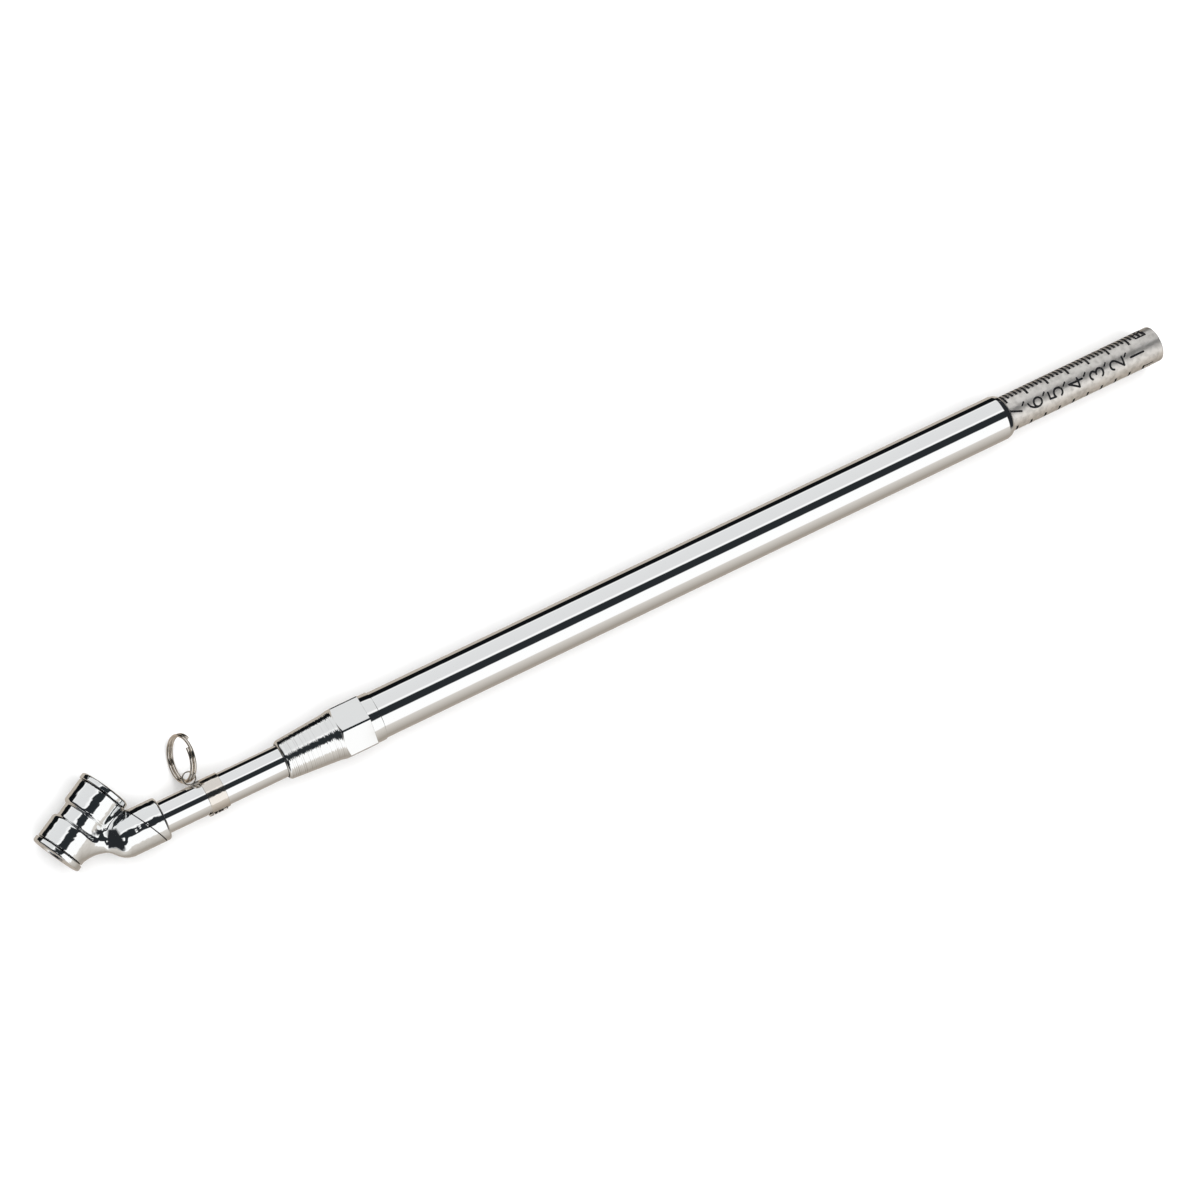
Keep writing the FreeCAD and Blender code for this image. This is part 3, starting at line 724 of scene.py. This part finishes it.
# ---- nose adaptor ----
# Turned from hexagon bar: a taper down to the stem, the spanner hexagon with its chamfered
# corners, a short collar and the spigot that the barrel screws on to. Tool marks show in it.
NOSE_TIP = -28.8
NOSE_TIP_R = 5.65
NOSE_EDGE_R = 1.2
COUNTERBORE = 1.1
COUNTERBORE_GAP = 0.32
TAPER_END = -13.7
TAPER_END_R = 6.8
HEX_START = -12.05
HEX_END = -3.25
FLARE_END_R = 7.15
HEX_CORNER_R = 8.1
HEX_CHAMFER = math.tan(math.radians(30))
HEX_HALF = 7.15
COLLAR_R = 7.05
BARREL_BORE_R = 5.95
SPIGOT_END = 9.0
SEAL_AT = 6.25
SEAL_GROOVE = 0.6
SEAL_FLOOR_R = 4.91
ROD_BOSS = -9.0
ROD_R = 1.5
NOSE_BORE_R = 3.0
TOOL_MARK_PITCH = 0.52
TOOL_MARK_TILT = 0.075
EVEN_SHARE = 0.13
RING_LINE_RANGE = (0.58, 0.75)
RING_LINE_COLOUR = (0.72, 0.72, 0.715, 1)
NOSE_COLOUR = (0.88, 0.885, 0.88, 1)


def tool_mark_group():
    """The fine rings a lathe tool leaves round X: a slightly turned normal, and dark lines."""
    group, given, result = new_group(
        "Shader", "tool_marks", {"Pitch": "Float", "Tilt": "Float"},
        {"Normal": "Vector", "Line": "Float"},
    )
    station = add_node(group, "ShaderNodeSeparateXYZ", {0: object_place(group)}).outputs["X"]
    feeds = maths(group, "DIVIDE", station, given["Pitch"])
    chatter = add_node(group, "ShaderNodeTexNoise", {
        "W": feeds, "Scale": 1, "Detail": 2, "Roughness": 0.7,
    }, noise_dimensions="1D")
    ridge = maths(group, "SINE", maths(group, "MULTIPLY", feeds, 2 * math.pi))
    rings = maths(group, "MULTIPLY_ADD", ridge, EVEN_SHARE, chatter.outputs["Fac"])
    lean = ranged(
        group, rings, 0.25, 0.75, maths(group, "MULTIPLY", given["Tilt"], -1), given["Tilt"]
    )
    normal = add_node(group, "ShaderNodeNewGeometry", {}).outputs["Normal"]
    across = vector_maths(group, "CROSS_PRODUCT", {0: (1, 0, 0), 1: normal})
    push = vector_maths(group, "SCALE", {0: across, "Scale": lean})
    pushed = vector_maths(group, "ADD", {0: normal, 1: push})
    unit = vector_maths(group, "NORMALIZE", {0: pushed})
    feed(group, result, {"Normal": unit, "Line": rings})
    return group


def nose_shape():
    """The nose's mesh: the same outline at every angle, but for the hexagon."""
    flat_half = math.pi / 6
    turned_corner = math.acos(HEX_HALF / HEX_CORNER_R)
    spread = np.concatenate([
        np.linspace(-turned_corner, turned_corner, 25),
        np.linspace(turned_corner, 2 * flat_half - turned_corner, 6)[1:-1],
    ])
    # The flats face 30 degrees to either side of the top, so two corners are on the Z axis.
    angles = np.sort(np.concatenate([spread + flat_half + 2 * flat_half * i for i in range(6)]))
    rows = []
    for angle in angles:
        from_flat = angle % (2 * flat_half) - flat_half
        r = min(HEX_HALF / math.cos(from_flat), HEX_CORNER_R)
        chamfer = HEX_START + (r - FLARE_END_R) * HEX_CHAMFER
        tip = [
            (
                NOSE_TIP + NOSE_EDGE_R - NOSE_EDGE_R * math.cos(a),
                NOSE_TIP_R + 0.06 - NOSE_EDGE_R + NOSE_EDGE_R * math.sin(a),
            )
            for a in np.radians(np.linspace(28, 86, 9))
        ]
        outline = [
            (STEM_FRONT, STEM_R), (NOSE_TIP + COUNTERBORE, STEM_R),
            (NOSE_TIP + COUNTERBORE, STEM_R + COUNTERBORE_GAP),
            (NOSE_TIP + 0.12, STEM_R + 0.36),
            *tip,
            (NOSE_TIP + 1.3, NOSE_TIP_R + 0.08), (TAPER_END - 0.1, TAPER_END_R - 0.01),
            (TAPER_END, TAPER_END_R), (TAPER_END + 0.1, TAPER_END_R + 0.02),
            (HEX_START - 0.05, FLARE_END_R - 0.01), (HEX_START, FLARE_END_R),
            (chamfer, r), (chamfer + 0.04, r), (HEX_END - 0.1, r), (HEX_END - 0.02, r - 0.03),
            (HEX_END, COLLAR_R), (HEX_END + 0.06, COLLAR_R), (-0.16, COLLAR_R),
            (-0.05, COLLAR_R - 0.04), (0, COLLAR_R - 0.15), (0, BARREL_BORE_R - 0.01),
            (SEAL_AT - SEAL_GROOVE, BARREL_BORE_R - 0.01), (SEAL_AT - SEAL_GROOVE, SEAL_FLOOR_R),
            (SEAL_AT + SEAL_GROOVE, SEAL_FLOOR_R), (SEAL_AT + SEAL_GROOVE, BARREL_BORE_R - 0.01),
            (SPIGOT_END - 0.3, BARREL_BORE_R - 0.01), (SPIGOT_END, BARREL_BORE_R - 0.3),
            (SPIGOT_END, ROD_R), (ROD_BOSS, ROD_R), (ROD_BOSS, NOSE_BORE_R),
            (STEM_FRONT + 1, NOSE_BORE_R), (STEM_FRONT + 1, STEM_R),
        ]
        rows.append([(x, q * math.sin(angle), q * math.cos(angle)) for x, q in outline])
    points = np.array(rows).reshape(-1, 3)
    size, count = len(rows[0]), len(rows)
    faces = []
    for i in range(count):
        for k in range(size):
            a, b = i * size, ((i + 1) % count) * size
            j = (k + 1) % size
            faces.append([a + k, a + j, b + j, b + k])
    return points, faces, None


turned_chrome, nose_shader, nose_bump = new_metal(
    "turned_chrome", NOSE_COLOUR, 0.04, 0.10, 200.0, 300.0, 0.012
)
nose_tree = turned_chrome.node_tree
tool_marks = add_node(nose_tree, "ShaderNodeGroup", {
    "Pitch": TOOL_MARK_PITCH * MM, "Tilt": TOOL_MARK_TILT,
}, node_tree=tool_mark_group())
# Only the taper keeps its rings: the flats of the hexagon were never turned.
station = add_node(nose_tree, "ShaderNodeSeparateXYZ", {0: object_place(nose_tree)}).outputs["X"]
on_taper = maths(nose_tree, "LESS_THAN", station, BARREL_START[0] + HEX_START * MM)
line_share = ranged(nose_tree, tool_marks.outputs["Line"], *RING_LINE_RANGE)
in_line = maths(nose_tree, "MULTIPLY", line_share, on_taper)
plain_normal = add_node(nose_tree, "ShaderNodeNewGeometry", {}).outputs["Normal"]
feed(nose_tree, nose_shader, {
    "Base Color": blended(nose_tree, in_line, NOSE_COLOUR, RING_LINE_COLOUR),
})
feed(nose_tree, nose_bump, {
    "Normal": blended(nose_tree, on_taper, plain_normal, tool_marks.outputs["Normal"], "VECTOR"),
})
nose = make_piece("nose_turning", nose_shape(), turned_chrome)
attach(nose, "gauge_body")
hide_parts("nose_adaptor")


# ---- seals in the nose ----
# A red fibre washer under the stem's end, a rubber ring round the spigot, and the rubber
# buffer that the piston comes home against. They are out of sight once the gauge is closed.
FIBRE_COLOUR = (0.30, 0.075, 0.045, 1)
fibre = new_soft("fibre", FIBRE_COLOUR, 0.75, 1800.0, 0.05)


def repaint(node, material):
    """Gives a part its finish and leaves its shape alone."""
    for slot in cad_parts[node].material_slots:
        slot.material = material


repaint("stem_seal", fibre)
repaint("barrel_seal_ring", black_rubber)
repaint("bump_washer", black_rubber)


# ---- rod, spring and piston ----
# The works slide on a fixed steel rod: a brass piston with its rubber cup and O-ring, and the
# calibrated spring between the piston and the stop washer that its lock nut sets.
SPRING_WIRE_R = 0.65
SPRING_MEAN_R = 3.8
SPRING_TURNS = 45
STEEL_COLOUR = (0.42, 0.42, 0.43, 1)
spring_steel, _, _ = new_metal("spring_steel", STEEL_COLOUR, 0.22, 0.4, 800.0, 1500.0, 0.01)
for node in ("spring_rod", "spring_stop_washer", "rod_lock_nut"):
    repaint(node, spring_steel)
for node in ("piston", "cup_retainer"):
    repaint(node, brass)
for node in ("piston_o_ring", "cup_seal"):
    repaint(node, black_rubber)
spring_low, spring_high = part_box("main_spring")
spring_middle = Vector((
    (spring_low.x + spring_high.x) / 2, BARREL_START[1], BARREL_START[2],
))
spring = grown("calibrated_spring", wound_wire, {
    "Turns": float(SPRING_TURNS),
    "Length": spring_high.x - spring_low.x - 2 * SPRING_WIRE_R * MM,
    "Mean Radius": SPRING_MEAN_R * MM, "Wire Radius": SPRING_WIRE_R * MM,
    "Steps": SPRING_TURNS * 36, "Sides": 12, "Material": spring_steel,
}, Matrix.Translation(spring_middle) @ Matrix.Rotation(math.pi / 2, 4, "Y"))
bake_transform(spring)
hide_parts("main_spring")


# ---- barrel ----
# A long thin-walled brass tube, chrome plated and polished bright. Its far end is rolled in
# to the lip that guides the indicator and stops it coming out.
BARREL_R = 6.75
BARREL_LENGTH = 206.0
LIP_R = 5.45
barrel = make_piece("barrel_tube_plated", turned([
    (0, BARREL_BORE_R, 0.1), (0, BARREL_R, 0.12), (BARREL_LENGTH - 2.1, BARREL_R, 1.6),
    (BARREL_LENGTH - 0.55, BARREL_R - 0.42, 1.2), (BARREL_LENGTH, LIP_R + 0.2, 0.1),
    (BARREL_LENGTH, LIP_R, 0.08), (BARREL_LENGTH - 1.15, LIP_R, 0.15),
    (BARREL_LENGTH - 1.65, BARREL_BORE_R, 0.2),
], 256), tube_chrome)
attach(barrel, "gauge_body")
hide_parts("barrel")


# ---- indicator tube ----
# A satin aluminium tube that the piston pushes out of the barrel. A bead swaged round its
# middle stops at the lip, and a plug closes its tip.
INDICATOR_R = 5.4
INDICATOR_BORE_R = 4.7
RIDE_R = 5.9
TIP = 259.2
indicator_low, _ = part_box("indicator_tube")
TAIL = (indicator_low.x - BARREL_START[0]) / MM
BEAD_END = 178.3
BEAD_WIDTH = 1.5
FRICTION_GROOVE = 0.84
GROOVE_FLOOR_R = 5.18
PLUG_LENGTH = 4.0
PLUG_R = INDICATOR_BORE_R - 0.02
DIMPLE = 0.25
SATIN_COLOUR = (0.92, 0.89, 0.85, 1)
SATIN_WORN = (0.70, 0.675, 0.64, 1)
MOTTLE_RANGE = (0.42, 0.68)
satin, satin_shader, _ = new_metal(
    "satin_aluminium", SATIN_COLOUR, 0.37, 0.48, 420.0, 900.0, 0.012
)
satin_tree = satin.node_tree
mottle = add_node(satin_tree, "ShaderNodeTexNoise", {
    "Vector": object_place(satin_tree), "Scale": 620.0, "Detail": 4,
})
worn_share = ranged(satin_tree, mottle.outputs["Fac"], *MOTTLE_RANGE)
feed(satin_tree, satin_shader, {
    "Base Color": blended(satin_tree, worn_share, SATIN_COLOUR, SATIN_WORN),
})
groove_start = BEAD_END - BEAD_WIDTH - FRICTION_GROOVE
indicator = make_piece("scale_tube", turned([
    (TAIL, INDICATOR_BORE_R, 0.08), (TAIL, INDICATOR_R, 0.08),
    (groove_start, INDICATOR_R, 0.05), (groove_start, GROOVE_FLOOR_R, 0.05),
    (BEAD_END - BEAD_WIDTH, GROOVE_FLOOR_R, 0.05), (BEAD_END - BEAD_WIDTH, RIDE_R, 0.25),
    (BEAD_END, RIDE_R, 0.25), (BEAD_END, INDICATOR_R, 0.15),
    (TIP, INDICATOR_R, 0.8), (TIP, INDICATOR_BORE_R, 0.1),
], 192), satin)
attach(indicator, "indicator")
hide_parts("indicator_tube")
CAP_FACE = TIP - 0.25
cap = make_piece("tip_plug", turned([
    (CAP_FACE - PLUG_LENGTH, 0, 0), (CAP_FACE - PLUG_LENGTH, PLUG_R, 0.3),
    (CAP_FACE, PLUG_R, 0.2), (CAP_FACE, 1.2, 0.1), (CAP_FACE - DIMPLE, 0.9, 0.1),
    (CAP_FACE - DIMPLE, 0, 0),
], 96), satin)
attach(cap, "indicator")
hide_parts("indicator_end_cap")
repaint("tail_bush", brass)
repaint("friction_ring", spring_steel)


# ---- scale ----
# Black ink, printed round the indicator: bar numbers down the middle with their ticks on one
# side, and ticks and numbers for pounds per square inch on the other.
BAR_SPACING = 7.2
BAR_DIVISIONS = 5
PSI_SPACING = BAR_SPACING * 0.6895
INK_LIFT = 0.02
INK_SINK = 0.05
PEN_STEP = 0.22
INK_COLOUR = (0.004, 0.004, 0.005, 1)
DIGIT_HEIGHT = 4.5
DIGIT_WIDTH = 2.8
DIGIT_STROKE = 0.62
DIGIT_SIDE = 0.8
DIGIT_GAP = 0.25
TEN_SQUEEZE = 0.62
HALF_BAR_MARK = ((-0.5, 0.2), (0.35, 1.0))
HALF_BAR_STROKE = DIGIT_STROKE * 0.8
NUMBERS_SHIFT = 1.64
TICKS_SHIFT = 2.2
SHARP_BEND = math.radians(45)
SMALL_HEIGHT = 2.6
SMALL_WIDTH = 1.5
SMALL_STROKE = 0.42
# Each unit's name, how far it is from the tip, its angle, and its height, width and stroke.
UNIT_NAMES = (
    ("BAR", 4.8, math.radians(88), 3.3, 2.3, 0.55),
    ("PSI", 5.4, math.radians(-92), 2.9, 1.9, 0.5),
)
TICK_WIDTH = 0.74
TICK_SINK = 0.015
TICK_THICKNESS = 0.07
BAR_TICK_FROM = math.radians(29.5)
SHORT_TICK_FROM = math.radians(44)
TICKS_TO = math.radians(104)
PSI_NUMBERS_AT = math.radians(-128)
PSI_TICK_FROM = math.radians(-58)
PSI_TICK_TO = math.radians(-96)
ink = new_soft("scale_ink", INK_COLOUR, 0.6, 1400.0, 0.02)
ink.node_tree.nodes["Principled BSDF"].inputs["Specular IOR Level"].default_value = 0.15


def arc(x, y, rx, ry, from_deg, to_deg):
    """Points along part of an ellipse."""
    angles = np.radians(np.linspace(from_deg, to_deg, 17))
    return [(x + rx * math.cos(a), y + ry * math.sin(a)) for a in angles]


LETTER_BACK = [(0.0, 0.0), (0.0, 1.0), (0.55, 1.0)]
STROKES = {
    "0": [arc(0.5, 0.5, 0.46, 0.5, 90, 450)],
    "1": [[(0.5, 0.0), (0.5, 1.0)]],
    "2": [arc(0.5, 0.72, 0.46, 0.28, 165, -38) + [(0.03, 0.0), (0.98, 0.0)]],
    "3": [arc(0.47, 0.76, 0.43, 0.24, 150, -90) + arc(0.47, 0.26, 0.5, 0.26, 90, -150)],
    "4": [[(0.7, 0.0), (0.7, 1.0), (0.0, 0.32), (1.0, 0.32)]],
    "5": [[(0.92, 1.0), (0.2, 1.0), (0.14, 0.56)] + arc(0.48, 0.32, 0.5, 0.32, 125, -145)],
    "6": [arc(0.5, 0.3, 0.48, 0.3, 170, -190), arc(0.86, 0.32, 0.84, 0.68, 178, 98)],
    "7": [[(0.0, 1.0), (1.0, 1.0), (0.35, 0.0)]],
    "8": [arc(0.5, 0.76, 0.4, 0.24, -90, 270), arc(0.5, 0.26, 0.48, 0.26, 90, 450)],
    "9": [arc(0.5, 0.7, 0.48, 0.3, -10, 350), arc(0.14, 0.68, 0.84, 0.68, -2, -82)],
    "A": [[(0.0, 0.0), (0.5, 1.0), (1.0, 0.0)], [(0.2, 0.35), (0.8, 0.35)]],
    "B": [
        LETTER_BACK + arc(0.55, 0.76, 0.35, 0.24, 90, -90) + [(0.0, 0.52)],
        [(0.55, 0.52)] + arc(0.58, 0.26, 0.4, 0.26, 90, -90) + [(0.0, 0.0)],
    ],
    "I": [[(0.5, 0.0), (0.5, 1.0)]],
    "P": [LETTER_BACK + arc(0.55, 0.74, 0.4, 0.26, 90, -90) + [(0.0, 0.48)]],
    "R": [
        LETTER_BACK + arc(0.55, 0.75, 0.4, 0.25, 90, -90) + [(0.0, 0.5)],
        [(0.5, 0.5), (1.0, 0.0)],
    ],
    "S": [arc(0.5, 0.76, 0.44, 0.24, 25, 270) + arc(0.5, 0.26, 0.46, 0.26, 90, -155)],
}


def at_corners(places):
    """The line cut where it turns sharply, so that no stroke has to fold."""
    places = [np.array(place_now, float) for place_now in places]
    runs = [[places[0]]]
    for before, now, after in zip(places, places[1:], places[2:]):
        runs[-1].append(now)
        arrive, leave = now - before, after - now
        bend = math.atan2(arrive[0] * leave[1] - arrive[1] * leave[0], arrive @ leave)
        if abs(bend) > SHARP_BEND:
            runs.append([now])
    runs[-1].append(places[-1])
    return runs


def pen_line(places, stroke):
    """One stroke of the pen on the tube, through (x, distance round) places."""
    dense = [places[0]]
    for place_now in places[1:]:
        last = dense[-1]
        count = max(1, math.ceil(np.linalg.norm(place_now - last) / PEN_STEP))
        dense += [last + (place_now - last) * k / count for k in range(1, count + 1)]
    dense = np.array(dense)
    heading = np.gradient(dense, axis=0)
    heading /= np.maximum(np.linalg.norm(heading, axis=1), 1e-9)[:, None]
    half = stroke / 2
    # Round ends: the last half width is drawn in four narrowing steps.
    cap_steps = np.array([0.999, 0.92, 0.7, 0.38])
    before = dense[0] - heading[0] * half * cap_steps[:, None]
    after = dense[-1] + heading[-1] * half * cap_steps[::-1, None]
    path = np.vstack([before, dense, after])
    heading = np.vstack([[heading[0]] * 4, heading, [heading[-1]] * 4])
    narrow = np.sqrt(1 - cap_steps ** 2)
    widths = np.concatenate([narrow, np.ones(len(dense)), narrow[::-1]])
    angles = path[:, 1] / INDICATOR_R
    outs = np.stack([0 * angles, np.sin(angles), np.cos(angles)], 1)
    rounds = np.stack([0 * angles, np.cos(angles), -np.sin(angles)], 1)
    spine = outs * INDICATOR_R
    spine[:, 0] = path[:, 0]
    ahead = heading[:, :1] * np.array([[1.0, 0, 0]]) + heading[:, 1:] * rounds
    acrosses = np.cross(outs, ahead)
    spots = np.array([
        (-INK_SINK, -half), (INK_LIFT, -half), (INK_LIFT, half), (-INK_SINK, half),
    ])
    return swept(spine, outs, acrosses, (spots, spots), widths)


def stamped(text, x, middle, height, width, stroke, gap=0.45):
    """Characters with their tops towards the chuck, centred on x and on an angle."""
    shapes = []
    advance = width * (1 + gap)
    first = middle * INDICATOR_R - advance * (len(text) - 1) / 2
    for i, character in enumerate(text):
        for line in STROKES[character]:
            places = [
                (x + height / 2 - height * v, first + advance * i + width * (u - 0.5)) for u, v in line
            ]
            shapes += [pen_line(run, stroke) for run in at_corners(places)]
    return shapes


marks = []
for bar in range(1, 11):
    marks += stamped(
        str(bar), TIP - NUMBERS_SHIFT - BAR_SPACING * bar, -DIGIT_SIDE / INDICATOR_R,
        DIGIT_HEIGHT, DIGIT_WIDTH * (1 if bar < 10 else TEN_SQUEEZE), DIGIT_STROKE, DIGIT_GAP,
    )
    half_bar = TIP - NUMBERS_SHIFT - BAR_SPACING * (bar + 0.5)
    marks.append(pen_line([np.array((half_bar + x, y)) for x, y in HALF_BAR_MARK], HALF_BAR_STROKE))
for tens in range(1, 15):
    marks += stamped(
        str(tens * 10), TIP - TICKS_SHIFT - PSI_SPACING * tens, PSI_NUMBERS_AT,
        SMALL_HEIGHT, SMALL_WIDTH, SMALL_STROKE,
    )
for word, back, middle, height, width, stroke in UNIT_NAMES:
    marks += stamped(word, TIP - back, middle, height, width, stroke)
points, faces, _ = joined(*marks)
numbers = make_piece("scale_numbers", (points, faces, None), ink)
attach(numbers, "indicator")


def tick_row_tree():
    """A row of ticks along X, each one an arc round the tube, from named sizes in metres."""
    tree, given, result = new_group("Geometry", "tick_row", {
        "Count": "Int", "Spacing": "Float", "Radius": "Float", "From Angle": "Float",
        "Sweep": "Float", "Width": "Float", "Thickness": "Float", "Material": "Material",
    }, {"Geometry": "Geometry"})
    bend = add_node(tree, "GeometryNodeCurveArc", {
        "Resolution": 14, "Radius": given["Radius"], "Start Angle": given["From Angle"],
        "Sweep Angle": given["Sweep"],
    })
    section = add_node(tree, "GeometryNodeCurvePrimitiveQuadrilateral", {
        "Width": given["Thickness"], "Height": given["Width"],
    })
    tick = add_node(tree, "GeometryNodeCurveToMesh", {
        "Curve": bend.outputs["Curve"], "Profile Curve": section.outputs["Curve"],
        "Fill Caps": True,
    })
    upright = add_node(tree, "GeometryNodeTransform", {
        "Geometry": tick.outputs["Mesh"], "Rotation": (0, math.pi / 2, 0),
    })
    step = add_node(tree, "ShaderNodeCombineXYZ", {"X": given["Spacing"]})
    row = add_node(tree, "GeometryNodeMeshLine", {
        "Count": given["Count"], "Offset": step.outputs[0],
    })
    copies = add_node(tree, "GeometryNodeInstanceOnPoints", {
        "Points": row.outputs["Mesh"], "Instance": upright.outputs["Geometry"],
    })
    finish_grower(tree, copies.outputs["Instances"], given["Material"], result)
    return tree


tick_row = tick_row_tree()
# The arcs turn from -Z round to +Y, so an angle from the top towards +Y is counted from there.
for name, count, spacing, low_angle, high_angle in (
    ("bar_ticks", 10, BAR_SPACING, BAR_TICK_FROM, TICKS_TO),
    ("fine_ticks", 10 * BAR_DIVISIONS, BAR_SPACING / BAR_DIVISIONS, SHORT_TICK_FROM, TICKS_TO),
    ("psi_ticks", 14, PSI_SPACING, PSI_TICK_TO, PSI_TICK_FROM),
):
    row = grown(name, tick_row, {
        "Count": count, "Spacing": -spacing * MM, "Radius": (INDICATOR_R - TICK_SINK) * MM,
        "From Angle": math.pi - high_angle, "Sweep": high_angle - low_angle,
        "Width": TICK_WIDTH * MM, "Thickness": TICK_THICKNESS * MM, "Material": ink,
    }, Matrix.Translation(Vector(BARREL_START) + Vector(((TIP - TICKS_SHIFT - spacing) * MM, 0, 0))))
    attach(row, "indicator")


# ---- studio ----
# A white table under a soft tent of light. Strips of dark and bright card in the tent draw the
# long bands that bright plating shows.
FLOOR_SIZE = 12.0
SOFTBOX_HEIGHT = 1.6
SOFTBOX_SIZE = 2.2
SOFTBOX_POWER = 42.0
TENT = (
    (-180, (0.42, 0.37, 0.32)), (-131, (0.50, 0.45, 0.39)), (-127, (0.004, 0.005, 0.006)),
    (-97, (0.004, 0.005, 0.006)), (-92, (0.95, 0.95, 0.94)), (-86, (0.74, 0.745, 0.75)),
    (-31, (0.72, 0.725, 0.73)), (-24, (0.98, 0.98, 0.98)), (-20, (0.98, 0.98, 0.98)),
    (-17, (0.020, 0.024, 0.027)), (14, (0.020, 0.024, 0.027)), (17, (1.0, 1.0, 1.0)),
    (63, (1.0, 1.0, 1.0)), (68, (0.66, 0.63, 0.59)), (125, (0.34, 0.305, 0.265)),
    (180, (0.42, 0.37, 0.32)),
)
TENT_END = (0.02, 0.022, 0.025, 1)
TENT_STRENGTH = 1.12
SPREAD_X_RANGE = (-0.12, -0.45)
SPREAD_SIDE_RANGE = (math.radians(-4), math.radians(12))
SPREAD_BY = math.radians(38)
FAR_END_RANGE = (0.56, 0.66)
NEAR_END_RANGE = (-0.5, -0.64)
ABOVE_TABLE_RANGE = (-0.25, 0.0)
BACKDROP_COLOUR = (0.96, 0.96, 0.96, 1)
TABLE_COLOUR = (0.93, 0.93, 0.93, 1)
scene = bpy.context.scene
floor_mesh = bpy.data.meshes.new("table_top")
half = FLOOR_SIZE / 2
floor_mesh.from_pydata(
    [(-half, -half, 0), (half, -half, 0), (half, half, 0), (-half, half, 0)], [], [(0, 1, 2, 3)]
)
table_white = bpy.data.materials.new("table_white")
table_white.use_nodes = True
table_tree = table_white.node_tree
feed(table_tree, table_tree.nodes["Principled BSDF"], {"Base Color": TABLE_COLOUR, "Roughness": 0.9})
floor_mesh.materials.append(table_white)
floor = bpy.data.objects.new("table_top", floor_mesh)
floor.visible_glossy = False
scene.collection.objects.link(floor)

world = bpy.data.worlds.new("light_tent")
scene.world = world
world.use_nodes = True
tent = world.node_tree
tent.nodes.clear()
way = add_node(tent, "ShaderNodeTexCoord", {}).outputs["Generated"]
axes = add_node(tent, "ShaderNodeSeparateXYZ", {0: way}).outputs
round_x = maths(tent, "ARCTAN2", maths(tent, "MULTIPLY", axes["Y"], -1), axes["Z"])
# Towards the chuck's end the dark strip overhead spreads down one side.
leftward = ranged(tent, axes["X"], *SPREAD_X_RANGE, 0, SPREAD_BY)
one_side = ranged(tent, round_x, *SPREAD_SIDE_RANGE)
spread_round = maths(tent, "SUBTRACT", round_x, maths(tent, "MULTIPLY", leftward, one_side))
cards = add_node(tent, "ShaderNodeValToRGB", {
    "Fac": ranged(tent, spread_round, -math.pi, math.pi),
})
stops = cards.color_ramp.elements
while len(stops) < len(TENT):
    stops.new(1.0)
for stop, (angle, colour) in zip(stops, TENT):
    stop.position = (angle + 180) / 360
    stop.color = colour + (1,)
# Both ends of the tent are open to the dark room, but not below the table.
either_end = maths(
    tent, "MAXIMUM", ranged(tent, axes["X"], *FAR_END_RANGE), ranged(tent, axes["X"], *NEAR_END_RANGE)
)
end_share = maths(tent, "MULTIPLY", either_end, ranged(tent, axes["Z"], *ABOVE_TABLE_RANGE))
tent_light = add_node(tent, "ShaderNodeBackground", {
    "Color": blended(tent, end_share, cards.outputs["Color"], TENT_END), "Strength": TENT_STRENGTH,
})
backdrop = add_node(tent, "ShaderNodeBackground", {"Color": BACKDROP_COLOUR})
seen_as = add_node(tent, "ShaderNodeMixShader", {
    "Fac": add_node(tent, "ShaderNodeLightPath", {}).outputs["Is Camera Ray"],
    1: tent_light.outputs[0], 2: backdrop.outputs[0],
})
add_node(tent, "ShaderNodeOutputWorld", {"Surface": seen_as.outputs[0]})

softbox_data = bpy.data.lights.new("softbox", "AREA")
softbox_data.size = SOFTBOX_SIZE
softbox_data.energy = SOFTBOX_POWER
softbox = bpy.data.objects.new("softbox", softbox_data)
softbox.location = (0, 0, SOFTBOX_HEIGHT)
softbox.visible_glossy = False
softbox.visible_camera = False
scene.collection.objects.link(softbox)


# ---- camera ----
# A long lens looking down on the table from nearly overhead, turned to put the gauge across
# the picture from corner to corner.
CAMERA_PLACE = (-152.83, 2.129, 809.27)
CAMERA_RIGHT = Vector((0.86939839, -0.43129406, 0.24110551))
CAMERA_UP = Vector((0.41560809, 0.90221141, 0.11525832))
LENS_LENGTH = 90
FILM_WIDTH = 36
camera_data = bpy.data.cameras.new("camera")
camera_data.lens = LENS_LENGTH
camera_data.sensor_width = FILM_WIDTH
camera_data.clip_start = 0.01
camera = bpy.data.objects.new("camera", camera_data)
turn = Matrix((CAMERA_RIGHT, CAMERA_UP, CAMERA_RIGHT.cross(CAMERA_UP))).transposed()
place = Matrix.Translation(Vector(BARREL_START) + Vector(CAMERA_PLACE) * MM)
camera.matrix_world = place @ turn.to_4x4()
scene.collection.objects.link(camera)
scene.camera = camera
scene.view_settings.view_transform = "Standard"
